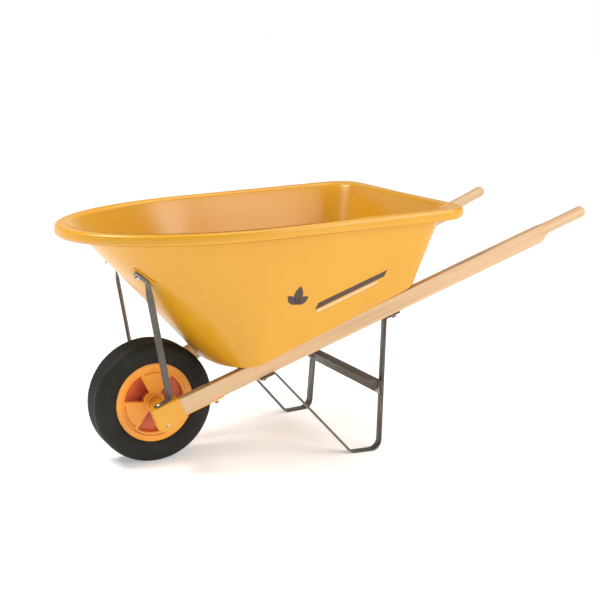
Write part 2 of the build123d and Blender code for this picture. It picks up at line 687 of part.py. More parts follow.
# ---- write every piece ----
def main():
    """Build every piece and write one STEP file for each node."""
    nodes = {
        "tub": tub(),
        "cross_brace": cross_brace(),
        "axle": along_axle(AXLE_RADIUS, -AXLE_HALF_LENGTH, AXLE_HALF_LENGTH),
        "thrust_washers": on_both_sides([thrust_washer()]),
        "wheel_hub": wheel_hub(),
        "tyre": tyre(),
        "hub_bushes": on_both_sides([bush()]),
        **both_sides("rail", rail()),
        **both_sides("axle_bracket", axle_bracket()),
        **both_sides("leg", leg()),
        **both_sides("strut", strut()),
        **fasteners(),
    }
    for name, node in nodes.items():
        export_step(node, "parts/" + name + ".step")


if __name__ == "__main__":
    main()
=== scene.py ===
"""A wheelbarrow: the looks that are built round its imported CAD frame.

+X points to the grips, -X to the nose and the wheel, +Y to the right-hand side and +Z up, in metres.
"""

import json
import logging
import math
from dataclasses import dataclass, field
from enum import Enum
from typing import Any, Callable, Iterable, Sequence

import bmesh
import bpy
import numpy as np
from mathutils import Matrix, Vector
from mathutils.bvhtree import BVHTree

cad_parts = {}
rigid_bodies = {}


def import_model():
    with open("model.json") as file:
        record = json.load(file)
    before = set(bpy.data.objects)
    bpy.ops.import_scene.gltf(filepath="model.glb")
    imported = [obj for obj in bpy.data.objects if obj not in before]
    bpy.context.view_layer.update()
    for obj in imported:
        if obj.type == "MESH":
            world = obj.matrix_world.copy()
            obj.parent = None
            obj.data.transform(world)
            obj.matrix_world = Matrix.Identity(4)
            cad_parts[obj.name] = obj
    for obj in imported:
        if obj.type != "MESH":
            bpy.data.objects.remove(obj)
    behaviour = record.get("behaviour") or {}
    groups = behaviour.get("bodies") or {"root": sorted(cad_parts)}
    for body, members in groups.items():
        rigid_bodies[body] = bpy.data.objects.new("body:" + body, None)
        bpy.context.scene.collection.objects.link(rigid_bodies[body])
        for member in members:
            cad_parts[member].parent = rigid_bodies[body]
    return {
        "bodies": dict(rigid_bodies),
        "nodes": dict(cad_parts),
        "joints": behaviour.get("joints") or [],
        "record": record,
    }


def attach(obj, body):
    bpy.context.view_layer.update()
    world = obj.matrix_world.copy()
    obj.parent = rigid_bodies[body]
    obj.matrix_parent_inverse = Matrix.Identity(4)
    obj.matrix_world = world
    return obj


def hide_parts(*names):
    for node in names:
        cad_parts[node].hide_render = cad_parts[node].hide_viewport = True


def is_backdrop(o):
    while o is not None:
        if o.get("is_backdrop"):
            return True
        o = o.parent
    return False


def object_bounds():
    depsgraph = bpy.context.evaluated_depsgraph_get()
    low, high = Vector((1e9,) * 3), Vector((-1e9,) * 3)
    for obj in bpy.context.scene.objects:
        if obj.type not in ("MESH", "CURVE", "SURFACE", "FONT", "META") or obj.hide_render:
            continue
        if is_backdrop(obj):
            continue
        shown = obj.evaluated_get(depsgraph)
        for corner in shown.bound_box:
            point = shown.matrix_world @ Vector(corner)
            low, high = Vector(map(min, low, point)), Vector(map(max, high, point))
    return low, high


LOG = logging.getLogger("wheelbarrow")
FRAME_BODY = "frame"
WHEEL_BODY = "wheel"
Colour = tuple[float, float, float]
Place = tuple[float, float]
MarkShape = Callable[[float, float], Place]
Ring = list[Vector]


class Side(Enum):
    """The two sides of the barrow, with the sign of their Y."""

    LEFT = -1
    RIGHT = 1

    @property
    def word(self) -> str:
        """The side's name in lower case."""
        return self.name.lower()


# ---- shader maths ----
class Value:
    """A shader socket that adds Math nodes when it is used in an expression."""

    def __init__(self, shader: "Shader", socket: bpy.types.NodeSocket | None) -> None:
        """Keep the socket and the shader that it belongs to."""
        self.shader = shader
        self.socket = socket

    def _math(self, operation: str, first: Any, second: Any) -> "Value":
        """Add one Math node for two operands."""
        return self.shader.node("ShaderNodeMath", {"operation": operation}, {0: first, 1: second})

    def __add__(self, other: Any) -> "Value":
        """self + other."""
        return self._math("ADD", self, other)

    __radd__ = __add__

    def __sub__(self, other: Any) -> "Value":
        """self - other."""
        return self._math("SUBTRACT", self, other)

    def __rsub__(self, other: Any) -> "Value":
        """other - self."""
        return self._math("SUBTRACT", other, self)

    def __mul__(self, other: Any) -> "Value":
        """self * other."""
        return self._math("MULTIPLY", self, other)

    __rmul__ = __mul__

    def __abs__(self) -> "Value":
        """Size of the value without its sign."""
        return self._math("ABSOLUTE", self, 0.0)

    def between(self, low: float, high: float) -> "Value":
        """Smooth step of this value.

        Args:
            low: Value that gives 0.
            high: Value that gives 1; it may be the smaller of the two.

        Returns:
            A value from 0 to 1.
        """
        limits = {"Value": self, "From Min": low, "From Max": high}
        return self.shader.node("ShaderNodeMapRange", {"interpolation_type": "SMOOTHSTEP"}, limits)


class Shader:
    """Builds one procedural material from nodes."""

    def __init__(self, name: str) -> None:
        """Start an empty material.

        Args:
            name: The material's name.
        """
        self.material = bpy.data.materials.new(name)
        self.material.use_nodes = True
        self.tree = self.material.node_tree
        self.tree.nodes.clear()

    @staticmethod
    def _socket(sockets: Any, key: int | str) -> bpy.types.NodeSocket:
        """Find one of a node's sockets.

        Args:
            sockets: The node's inputs or outputs.
            key: The socket's place, its identifier or its name.

        Returns:
            The socket.
        """
        if isinstance(key, int):
            return sockets[key]
        for socket in sockets:
            if socket.identifier == key:
                return socket
        return sockets[key]

    def node(
        self,
        kind: str,
        settings: dict[str, Any] | None = None,
        inputs: dict[int | str, Any] | None = None,
        output: int | str = 0,
    ) -> Value:
        """Add one node.

        Args:
            kind: The node's type.
            settings: Its properties, set first. "stops" holds a ramp's places and colours.
            inputs: Values or links of its sockets, by place, identifier or name.
            output: The output to return.

        Returns:
            The output, wrapped.
        """
        made = self.tree.nodes.new(kind)
        for name, setting in (settings or {}).items():
            if name == "stops":
                self._set_stops(made.color_ramp.elements, setting)
            else:
                setattr(made, name, setting)
        for key, given in (inputs or {}).items():
            socket = self._socket(made.inputs, key)
            if isinstance(given, Value):
                self.tree.links.new(given.socket, socket)
            else:
                socket.default_value = given
        return Value(self, self._socket(made.outputs, output) if made.outputs else None)

    @staticmethod
    def _set_stops(elements: Any, stops: Sequence[tuple[float, Colour]]) -> None:
        """Give a colour ramp its stops.

        Args:
            elements: The ramp's elements.
            stops: Place and colour of each stop.
        """
        while len(elements) < len(stops):
            elements.new(1.0)
        for element, (place, colour) in zip(elements, stops):
            element.position = place
            element.color = (*colour, 1.0)

    def coordinates(self, turn: Sequence[float] = (0, 0, 0), scale: Sequence[float] = (1, 1, 1)) -> Value:
        """Object coordinates, turned and then stretched.

        Args:
            turn: Euler angles that bring the pattern's axes onto X, Y and Z.
            scale: Stretch along each turned axis.

        Returns:
            The vector for a texture.
        """
        place = self.node("ShaderNodeTexCoord", output="Object")
        turned = self.node("ShaderNodeMapping", {}, {"Vector": place, "Rotation": tuple(turn)})
        return self.node("ShaderNodeMapping", {}, {"Vector": turned, "Scale": tuple(scale)})

    def noise(self, scale: float, vector: Value, detail: float = 2.0, roughness: float = 0.5) -> Value:
        """Noise from about 0 to 1.

        Args:
            scale: Cells per metre of the vector.
            vector: Place in the pattern.
            detail: Octaves.
            roughness: Share of the finer octaves.

        Returns:
            The noise value.
        """
        given = {"Vector": vector, "Scale": scale, "Detail": detail, "Roughness": roughness}
        return self.node("ShaderNodeTexNoise", {}, given, "Fac")

    def mix(self, share: Any, first: Any, second: Any) -> Value:
        """Mix two colours.

        Args:
            share: Share of the second colour.
            first: Colour at share 0.
            second: Colour at share 1.

        Returns:
            The mixed colour.
        """
        given = {
            "Factor_Float": share,
            "A_Color": (*first, 1.0) if isinstance(first, tuple) else first,
            "B_Color": (*second, 1.0) if isinstance(second, tuple) else second,
        }
        return self.node("ShaderNodeMix", {"data_type": "RGBA"}, given, "Result_Color")

    def component(self, vector: Value, axis: str) -> Value:
        """One component of a vector."""
        return self.node("ShaderNodeSeparateXYZ", {}, {"Vector": vector}, axis)

    def worn_edges(self, radius: float) -> Value:
        """A mask that is 1 on outer and inner edges.

        Args:
            radius: Width of the edge zone, in metres.

        Returns:
            A value from 0 on flats to 1 on edges.
        """
        rounded = self.node("ShaderNodeBevel", {"samples": 4}, {"Radius": radius})
        flat = self.node("ShaderNodeNewGeometry", output="Normal")
        settings = {"operation": "DOT_PRODUCT"}
        along = self.node("ShaderNodeVectorMath", settings, {0: rounded, 1: flat}, "Value")
        return along.between(0.995, 0.88)

    def bump(self, height: Value, distance: float, strength: float = 1.0) -> Value:
        """A normal from a height pattern."""
        given = {"Height": height, "Distance": distance, "Strength": strength}
        return self.node("ShaderNodeBump", {}, given, "Normal")

    def surface(self, **inputs: Any) -> bpy.types.Material:
        """Close the material with one Principled shader.

        Args:
            **inputs: Sockets of the shader, with underscores for spaces in their names.

        Returns:
            The finished material.
        """
        given = {name.replace("_", " "): value for name, value in inputs.items()}
        for name, value in given.items():
            if name in ("Base Color", "Sheen Tint") and isinstance(value, tuple):
                given[name] = (*value, 1.0)
        shader = self.node("ShaderNodeBsdfPrincipled", {}, given, "BSDF")
        self.node("ShaderNodeOutputMaterial", {}, {"Surface": shader})
        return self.material


# ---- finishes ----
@dataclass(frozen=True)
class MouldedPlastic:
    """Satin moulded plastic with a fine grain, faint flow marks and pale scuffs."""

    name: str
    colour: Colour
    deep_colour: Colour
    roughness: float
    grain_scale: float = 1500.0
    grain_height: float = 0.00006

    def material(self) -> bpy.types.Material:
        """Build the material.

        Returns:
            The finished material.
        """
        shader = Shader(self.name)
        place = shader.coordinates()
        flow = shader.noise(5.0, shader.coordinates(scale=(1.0, 1.0, 0.35)), 3.0, 0.55)
        grain = shader.noise(self.grain_scale, place, 2.0, 0.6)
        scuffs = shader.noise(38.0, shader.coordinates(scale=(1.0, 1.0, 4.0)), 6.0, 0.7)
        scuffed = scuffs.between(0.62, 0.74)
        colour = shader.mix(flow.between(0.3, 0.75) * 0.35, self.colour, self.deep_colour)
        colour = shader.mix(scuffed * 0.10, colour, self._paler())
        roughness = flow * 0.08 + grain * 0.10 + scuffed * 0.08 + (self.roughness - 0.09)
        height = grain + flow * 0.6 - scuffed * 0.25
        return shader.surface(
            Base_Color=self._with_painted_shade(shader, colour),
            Roughness=roughness,
            Normal=shader.bump(height, self.grain_height),
            Coat_Weight=0.12,
            Coat_Roughness=0.28,
        )

    def _paler(self) -> Colour:
        """The colour of a scuff."""
        return tuple(min(1.0, part * 1.12 + 0.06) for part in self.colour)

    def _with_painted_shade(self, shader: Shader, colour: Value) -> Value:
        """Leave the colour as it is; the hub's plastic adds painted shade in its pockets."""
        return colour


@dataclass(frozen=True)
class HubPlastic(MouldedPlastic):
    """Plastic with painted shade in its deep pockets: a darker, redder tone than on its face."""

    axle: Colour = (0.0, 0.0, 0.0)
    # Painted shade: colours of the pocket floors near the boss and out at their rim.
    pocket_shade_colour: Colour = (0.42, 0.050, 0.022)
    pocket_rim_shade_colour: Colour = (0.74, 0.155, 0.028)
    face: float = 0.031
    pocket_floor: float = 0.012
    pocket_inner: float = 0.040
    pocket_outer: float = 0.084

    def _with_painted_shade(self, shader: Shader, colour: Value) -> Value:
        """Paint shade into the pockets: redden and darken the colour from the hub's face down to the pocket
        floors, most of all near the boss.

        Args:
            shader: Shader that the nodes go in.
            colour: Colour on the hub's face.

        Returns:
            The colour at every depth, with the painted pocket shade.
        """
        place = shader.coordinates()
        height = abs(shader.component(place, "Y"))
        flat = shader.node("ShaderNodeVectorMath", {"operation": "MULTIPLY"}, {0: place, 1: (1.0, 0.0, 1.0)})
        middle = (self.axle[0], 0.0, self.axle[2])
        radius = shader.node("ShaderNodeVectorMath", {"operation": "DISTANCE"}, {0: flat, 1: middle}, "Value")
        outward = radius.between(self.pocket_inner, self.pocket_outer)
        # Painted shade: the pockets darken and redden towards their floors.
        pocket = shader.mix(outward, self.pocket_shade_colour, self.pocket_rim_shade_colour)
        return shader.mix(height.between(self.face, self.pocket_floor), colour, pocket)


@dataclass(frozen=True)
class RailWood:
    """Pale planed hardwood with its grain along the rail, and painted shade on its upward faces."""

    name: str
    pitch: float
    splay: float
    light: Colour = (0.69, 0.48, 0.275)
    mid: Colour = (0.60, 0.385, 0.205)
    dark: Colour = (0.41, 0.225, 0.105)

    def material(self) -> bpy.types.Material:
        """Build the material.

        Returns:
            The finished material.
        """
        shader = Shader(self.name)
        plan = shader.coordinates(turn=(0.0, 0.0, -self.splay))
        along = shader.node("ShaderNodeMapping", {}, {"Vector": plan, "Rotation": (0.0, self.pitch, 0.0)})

        def stretched(length: float, width: float, height: float) -> Value:
            """The rail's own coordinates, scaled along it, across it and up."""
            scale = (length, width, height)
            return shader.node("ShaderNodeMapping", {}, {"Vector": along, "Scale": scale})

        bend = shader.noise(1.0, stretched(2.2, 9.0, 9.0), 2.0, 0.5)
        rings = shader.noise(1.0, stretched(1.6, 130.0, 95.0), 2.5, 0.45)
        fibres = shader.noise(1.0, stretched(28.0, 900.0, 900.0), 3.0, 0.6)
        flecks = shader.noise(1.0, stretched(60.0, 420.0, 420.0), 2.0, 0.5).between(0.66, 0.78)
        stops = [(0.30, self.dark), (0.46, self.mid), (0.66, self.light)]
        figure = rings * 0.72 + bend * 0.28
        banded = shader.node("ShaderNodeValToRGB", {"stops": stops}, {"Fac": figure}, "Color")
        colour = shader.mix(0.45, banded, shader.mix(bend, self.mid, self.light))
        colour = shader.mix(fibres.between(0.55, 0.8) * 0.22, colour, self.dark)
        colour = shader.mix(flecks * 0.30, colour, self.dark)
        # Painted shade: faces that look up are darkened towards the dark wood tone.
        normal = shader.node("ShaderNodeNewGeometry", output="Normal")
        painted_top_shade = shader.component(normal, "Z").between(0.55, 0.92)
        colour = shader.mix(painted_top_shade * 0.38, colour, self.dark)
        height = fibres * 0.7 + rings * 0.5 - flecks * 0.8
        return shader.surface(
            Base_Color=colour,
            Roughness=fibres * 0.16 + 0.42,
            Normal=shader.bump(height, 0.00022),
            Coat_Weight=0.08,
            Coat_Roughness=0.3,
        )


@dataclass(frozen=True)
class TyreRubber:
    """Black rubber, a little dusty on its raised parts."""

    name: str = "tyre_rubber"
    colour: Colour = (0.010, 0.0095, 0.0075)
    dust: Colour = (0.030, 0.029, 0.023)

    def material(self) -> bpy.types.Material:
        """Build the material.

        Returns:
            The finished material.
        """
        shader = Shader(self.name)
        place = shader.coordinates()
        cloud = shader.noise(16.0, place, 4.0, 0.6)
        skin = shader.noise(900.0, place, 3.0, 0.6)
        colour = shader.mix(cloud.between(0.40, 0.75) * 0.5, self.colour, self.dust)
        return shader.surface(
            Base_Color=colour,
            Roughness=cloud * 0.2 + skin * 0.1 + 0.48,
            Specular_IOR_Level=0.3,
            Normal=shader.bump(skin + cloud * 2.0, 0.00012),
        )


@dataclass(frozen=True)
class StrapPaint:
    """Dark bronze-grey paint on strap steel, rubbed through to bare metal on its edges."""

    name: str = "strap_paint"
    colour: Colour = (0.115, 0.100, 0.084)
    worn: Colour = (0.34, 0.32, 0.29)

    def material(self) -> bpy.types.Material:
        """Build the material.

        Returns:
            The finished material.
        """
        shader = Shader(self.name)
        place = shader.coordinates()
        peel = shader.noise(420.0, place, 2.0, 0.5)
        stain = shader.noise(11.0, place, 4.0, 0.6)
        chips = shader.noise(160.0, place, 3.0, 0.6).between(0.48, 0.60)
        wear = shader.worn_edges(0.0014) * chips
        darker = tuple(part * 0.62 for part in self.colour)
        colour = shader.mix(stain.between(0.35, 0.7), self.colour, darker)
        colour = shader.mix(wear * 0.8, colour, self.worn)
        return shader.surface(
            Base_Color=colour,
            Metallic=wear * 0.7 + 0.25,
            Roughness=peel * 0.12 + stain * 0.14 + 0.27,
            Normal=shader.bump(peel, 0.00008),
        )


@dataclass(frozen=True)
class BrightSteel:
    """Zinc plating or drawn bar: bright metal with a cloudy bloom."""

    name: str
    colour: Colour = (0.62, 0.60, 0.57)
    bloom: Colour = (0.40, 0.385, 0.36)
    roughness: float = 0.30

    def material(self) -> bpy.types.Material:
        """Build the material.

        Returns:
            The finished material.
        """
        shader = Shader(self.name)
        place = shader.coordinates()
        cloud = shader.noise(130.0, place, 4.0, 0.6)
        scratches = shader.noise(1100.0, shader.coordinates(scale=(1.0, 1.0, 0.12)), 2.0, 0.5)
        colour = shader.mix(cloud.between(0.35, 0.7), self.colour, self.bloom)
        return shader.surface(
            Base_Color=colour,
            Metallic=1.0,
            Roughness=cloud * 0.18 + scratches * 0.08 + (self.roughness - 0.1),
            Normal=shader.bump(scratches, 0.00003),
        )


@dataclass(frozen=True)
class PrintedFilm:
    """Printed film on the tub's sides: one matt ink with a faint print grain."""

    name: str
    ink: Colour

    def material(self) -> bpy.types.Material:
        """Build the material.

        Returns:
            The finished material.
        """
        shader = Shader(self.name)
        grain = shader.noise(700.0, shader.coordinates(), 2.0, 0.5)
        lighter = tuple(min(1.0, part * 1.25 + 0.01) for part in self.ink)
        return shader.surface(
            Base_Color=shader.mix(grain.between(0.3, 0.8) * 0.6, self.ink, lighter),
            Roughness=grain * 0.12 + 0.34,
            Normal=shader.bump(grain, 0.00003),
        )


@dataclass(frozen=True)
class StudioFloor:
    """Pale seamless floor."""

    name: str = "studio_floor"
    colour: Colour = (0.93, 0.93, 0.93)
    glow: float = 0.36

    def material(self) -> bpy.types.Material:
        """Build the material.

        Returns:
            The finished material.
        """
        shader = Shader(self.name)
        cloud = shader.noise(0.8, shader.coordinates(), 2.0, 0.5)
        darker = tuple(part * 0.99 for part in self.colour)
        return shader.surface(
            Base_Color=shader.mix(cloud, self.colour, darker),
            Roughness=0.9,
            Emission_Color=(*self.colour, 1.0),
            Emission_Strength=self.glow,
        )


class Workshop:
    """Hands out materials, and dresses and places finished pieces."""

    def __init__(self, axle: Vector) -> None:
        """Build every finish once.

        Args:
            axle: Middle of the axle, which the hub's colour is centred on.
        """
        tub = MouldedPlastic("tub_plastic", (0.67, 0.328, 0.011), (0.61, 0.262, 0.008), 0.29)
        hub = HubPlastic("hub_plastic", (0.90, 0.36, 0.030), (0.84, 0.31, 0.024), 0.36, axle=tuple(axle))
        bracket = MouldedPlastic("bracket_plastic", (0.72, 0.34, 0.020), (0.66, 0.29, 0.016), 0.38)
        bush = MouldedPlastic("bush_plastic", (0.72, 0.69, 0.62), (0.60, 0.57, 0.50), 0.42)
        self.materials = {finish.name: finish.material() for finish in (tub, hub, bracket, bush)}
        self.materials["tyre_rubber"] = TyreRubber().material()
        self.materials["strap_steel"] = StrapPaint().material()
        self.materials["zinc_steel"] = BrightSteel("zinc_steel").material()
        self.materials["axle_steel"] = BrightSteel("axle_steel", roughness=0.24).material()
        self.materials["film_dark"] = PrintedFilm("film_dark", (0.055, 0.026, 0.020)).material()
        self.materials["film_pale"] = PrintedFilm("film_pale", (0.62, 0.58, 0.52)).material()

    def add(self, name: str, finish: RailWood | StudioFloor) -> None:
        """Build one more finish under a name."""
        self.materials[name] = finish.material()

    def place(
        self,
        piece: bpy.types.Object,
        finish: str,
        slot: str,
        body: str = FRAME_BODY,
        stands_for: Iterable[str] = (),
    ) -> bpy.types.Object:
        """Give a piece its material and body, and report it.

        Args:
            piece: Object at the origin whose mesh is final.
            finish: Name of its material.
            slot: The record's material slot; not used.
            body: CAD body that it rides on.
            stands_for: CAD nodes that it replaces.

        Returns:
            The piece.
        """
        piece.data.materials.clear()
        piece.data.materials.append(self.materials[finish])
        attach(piece, body)
        nodes = list(stands_for)
        if nodes:
            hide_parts(*nodes)
        LOG.info("%s: %d faces, %s", piece.name, len(piece.data.polygons), finish)
        return piece


# ---- mesh tools ----
def new_object(name: str, mesh: bpy.types.Mesh) -> bpy.types.Object:
    """Link a mesh to the scene as an object at the origin.

    Args:
        name: The object's name.
        mesh: Its mesh.

    Returns:
        The new object.
    """
    piece = bpy.data.objects.new(name, mesh)
    bpy.context.scene.collection.objects.link(piece)
    return piece


def mesh_object(name: str, work: bmesh.types.BMesh, sharp: float = 40.0) -> bpy.types.Object:
    """Close a bmesh into a smooth-shaded object.

    Args:
        name: The object's name.
        work: The bmesh, which is freed.
        sharp: Edges that turn by more than this many degrees stay sharp.

    Returns:
        The new object.
    """
    bmesh.ops.remove_doubles(work, verts=work.verts, dist=1e-6)
    bmesh.ops.recalc_face_normals(work, faces=work.faces)
    mesh = bpy.data.meshes.new(name)
    work.to_mesh(mesh)
    work.free()
    mesh.shade_smooth()
    mesh.set_sharp_from_angle(angle=math.radians(sharp))
    return new_object(name, mesh)


def evaluated_mesh(piece: bpy.types.Object) -> bpy.types.Mesh:
    """The mesh of a piece with its modifiers applied."""
    return bpy.data.meshes.new_from_object(piece.evaluated_get(bpy.context.evaluated_depsgraph_get()))


def settle(piece: bpy.types.Object) -> bpy.types.Object:
    """Apply a piece's modifiers and remove them.

    Args:
        piece: The object, whose mesh is replaced.

    Returns:
        The same object.
    """
    bpy.context.view_layer.update()
    mesh = evaluated_mesh(piece)
    piece.modifiers.clear()
    piece.data = mesh
    return piece


def skin(work: bmesh.types.BMesh, rings: Sequence[Ring], closed: bool = False) -> None:
    """Join rings of equal length with quads.

    Args:
        work: The bmesh to add to.
        rings: Rings of points, each closed on itself.
        closed: Whether the last ring joins the first; otherwise both ends are capped.
    """
    rows = [[work.verts.new(point) for point in ring] for ring in rings]
    count = len(rows[0])
    pairs = list(zip(rows, rows[1:]))
    if closed:
        pairs.append((rows[-1], rows[0]))
    for low, high in pairs:
        for index in range(count):
            after = (index + 1) % count
            work.faces.new((low[index], low[after], high[after], high[index]))
    if not closed:
        work.faces.new(reversed(rows[0]))
        work.faces.new(rows[-1])


def arc(start: Vector, corner: Vector, end: Vector, reach: float, steps: int) -> list[Vector]:
    """Points of a smooth round that replaces a corner.

    Args:
        start: Point before the corner.
        corner: The sharp corner.
        end: Point after the corner.
        reach: Distance from the corner to both ends of the round.
        steps: Number of spans in the round.

    Returns:
        steps + 1 points.
    """
    first = corner + (start - corner).normalized() * reach
    last = corner + (end - corner).normalized() * reach
    points = []
    for step in range(steps + 1):
        share = step / steps
        points.append(first * (1 - share) ** 2 + corner * (2 * share * (1 - share)) + last * share**2)
    return points


def lathe(name: str, profile: Sequence[tuple[float, float]], spans: int, place: Matrix) -> bpy.types.Object:
    """Turn a closed profile about the local Z axis.

    Args:
        name: The object's name.
        profile: Radius and height of each point, in order round the section.
        spans: Number of spans round the axis.
        place: Where the local frame goes.

    Returns:
        The ring-shaped object.
    """
    work = bmesh.new()
    rings = []
    for step in range(spans):
        angle = math.tau * step / spans
        rings.append([place @ Vector((r * math.cos(angle), r * math.sin(angle), z)) for r, z in profile])
    skin(work, rings, closed=True)
    return mesh_object(name, work)


def softened(name: str, node: str, width: float, steps: int = 2, sharp: float = 28.0) -> bpy.types.Object:
    """Copy a CAD node and round its edges.

    Args:
        name: The new object's name.
        node: The CAD node.
        width: Width of the rounding, in metres.
        steps: Spans across each rounding.
        sharp: Edges that turn by more than this many degrees are rounded.

    Returns:
        The rounded copy, with no modifier left.
    """
    work = bmesh.new()
    work.from_mesh(bpy.data.objects[node].data)
    bmesh.ops.remove_doubles(work, verts=work.verts, dist=2e-6)
    bmesh.ops.dissolve_limit(work, angle_limit=math.radians(0.6), verts=work.verts, edges=work.edges)
    mesh = bpy.data.meshes.new(name)
    work.to_mesh(mesh)
    work.free()
    mesh.shade_smooth()
    piece = new_object(name, mesh)
    bevel = piece.modifiers.new("rounding", "BEVEL")
    bevel.width = width
    bevel.segments = steps
    bevel.limit_method = "ANGLE"
    bevel.angle_limit = math.radians(sharp)
    bevel.harden_normals = True
    return settle(piece)


# ---- geometry node trees ----
class Repeats:
    """Geometry Nodes trees that repeat a shape or sweep a section."""

    def __init__(self) -> None:
        """Build the trees."""
        self.on_points = self._tree_on_points()
        self.round_axle = self._tree_round_axle()
        self.swept_round = self._tree_swept_round()

    @staticmethod
    def _start(name: str, sizes: dict[str, tuple[str, float | int]]) -> tuple[Any, Any]:
        """Open a tree with a carrier, a shape, a finish and named sizes.

        Args:
            name: The tree's name.
            sizes: Socket type and default of each size, by name.

        Returns:
            The tree and the outputs of its input node.
        """
        tree = bpy.data.node_groups.new(name, "GeometryNodeTree")
        for label, kind in (("Geometry", "Geometry"), ("Shape", "Object"), ("Finish", "Material")):
            tree.interface.new_socket(name=label, in_out="INPUT", socket_type="NodeSocket" + kind)
        for label, (kind, value) in sizes.items():
            socket = tree.interface.new_socket(name=label, in_out="INPUT", socket_type=kind)
            socket.default_value = value
        tree.interface.new_socket(name="Geometry", in_out="OUTPUT", socket_type="NodeSocketGeometry")
        return tree, tree.nodes.new("NodeGroupInput").outputs

    @staticmethod
    def _node(
        tree: Any,
        kind: str,
        settings: dict[str, Any] | None = None,
        inputs: dict[int | str, Any] | None = None,
    ) -> Any:
        """Add one node.

        Args:
            tree: The tree that it goes in.
            kind: The node's type.
            settings: Its properties, set first.
            inputs: Values or links of its sockets, by place or name.

        Returns:
            The node's outputs.
        """
        made = tree.nodes.new(kind)
        for name, setting in (settings or {}).items():
            setattr(made, name, setting)
        for key, given in (inputs or {}).items():
            if isinstance(given, bpy.types.NodeSocket):
                tree.links.new(given, made.inputs[key])
            else:
                made.inputs[key].default_value = given
        return made.outputs

    def _close(self, tree: Any, finish: Any, shapes: Any) -> Any:
        """Realize the instances, set their material and end the tree.

        Args:
            tree: The tree.
            finish: Socket that gives the material.
            shapes: Socket that gives the shapes.

        Returns:
            The tree.
        """
        real = self._node(tree, "GeometryNodeRealizeInstances", inputs={"Geometry": shapes})
        dressing = {"Geometry": real["Geometry"], "Material": finish}
        dressed = self._node(tree, "GeometryNodeSetMaterial", inputs=dressing)
        self._node(tree, "NodeGroupOutput", inputs={"Geometry": dressed["Geometry"]})
        return tree

    def _tree_on_points(self) -> Any:
        """Place the shape on each point, turned by the point's own "turn" attribute.

        Returns:
            The tree.
        """
        tree, given = self._start("shape_on_points", {"Scale": ("NodeSocketFloat", 1.0)})
        shape = self._node(tree, "GeometryNodeObjectInfo", inputs={"Object": given["Shape"]})
        settings = {"data_type": "FLOAT_VECTOR"}
        turn = self._node(tree, "GeometryNodeInputNamedAttribute", settings, {"Name": "turn"})
        rotation = self._node(tree, "FunctionNodeEulerToRotation", inputs={"Euler": turn["Attribute"]})
        placing = {
            "Points": given["Geometry"],
            "Instance": shape["Geometry"],
            "Rotation": rotation["Rotation"],
            "Scale": given["Scale"],
        }
        placed = self._node(tree, "GeometryNodeInstanceOnPoints", inputs=placing)
        return self._close(tree, given["Finish"], placed["Instances"])

    def _tree_round_axle(self) -> Any:
        """Place the shape evenly round a circle about the local Z axis, each one facing outwards.

        Returns:
            The tree.
        """
        sizes = {
            "Count": ("NodeSocketInt", 12),
            "Radius": ("NodeSocketFloat", 0.1),
            "Lift": ("NodeSocketFloat", 0.0),
            "Start": ("NodeSocketFloat", 0.0),
        }
        tree, given = self._start("shape_round_axle", sizes)
        shape = self._node(tree, "GeometryNodeObjectInfo", inputs={"Object": given["Shape"]})
        ring = {"Vertices": given["Count"], "Radius": given["Radius"]}
        circle = self._node(tree, "GeometryNodeMeshCircle", inputs=ring)
        index = self._node(tree, "GeometryNodeInputIndex")
        parts = {0: index["Index"], 1: given["Count"]}
        share = self._node(tree, "ShaderNodeMath", {"operation": "DIVIDE"}, parts)
        angle = self._node(tree, "ShaderNodeMath", {"operation": "MULTIPLY"}, {0: share[0], 1: math.tau})
        turn = self._node(tree, "ShaderNodeCombineXYZ", inputs={"Z": angle[0]})
        rotation = self._node(tree, "FunctionNodeEulerToRotation", inputs={"Euler": turn["Vector"]})
        placing = {"Points": circle["Mesh"], "Instance": shape["Geometry"], "Rotation": rotation["Rotation"]}
        placed = self._node(tree, "GeometryNodeInstanceOnPoints", inputs=placing)
        lift = self._node(tree, "ShaderNodeCombineXYZ", inputs={"Z": given["Lift"]})
        whole_turn = self._node(tree, "ShaderNodeCombineXYZ", inputs={"Z": given["Start"]})
        moving = {
            "Geometry": placed["Instances"],
            "Translation": lift["Vector"],
            "Rotation": whole_turn["Vector"],
        }
        moved = self._node(tree, "GeometryNodeTransform", inputs=moving)
        return self._close(tree, given["Finish"], moved["Geometry"])

    def _tree_swept_round(self) -> Any:
        """Sweep the carrier's closed section round a circle about the local Z axis.

        Returns:
            The tree.
        """
        sizes = {"Radius": ("NodeSocketFloat", 0.1), "Spans": ("NodeSocketInt", 64)}
        tree, given = self._start("section_swept_round", sizes)
        section = self._node(tree, "GeometryNodeMeshToCurve", inputs={"Mesh": given["Geometry"]})
        ring = {"Resolution": given["Spans"], "Radius": given["Radius"]}
        circle = self._node(tree, "GeometryNodeCurvePrimitiveCircle", inputs=ring)
        upright = self._node(tree, "GeometryNodeSetCurveNormal", {"mode": "Z_UP"}, {"Curve": circle["Curve"]})
        sweep = {"Curve": upright["Curve"], "Profile Curve": section["Curve"]}
        swept = self._node(tree, "GeometryNodeCurveToMesh", inputs=sweep)
        return self._close(tree, given["Finish"], swept["Mesh"])

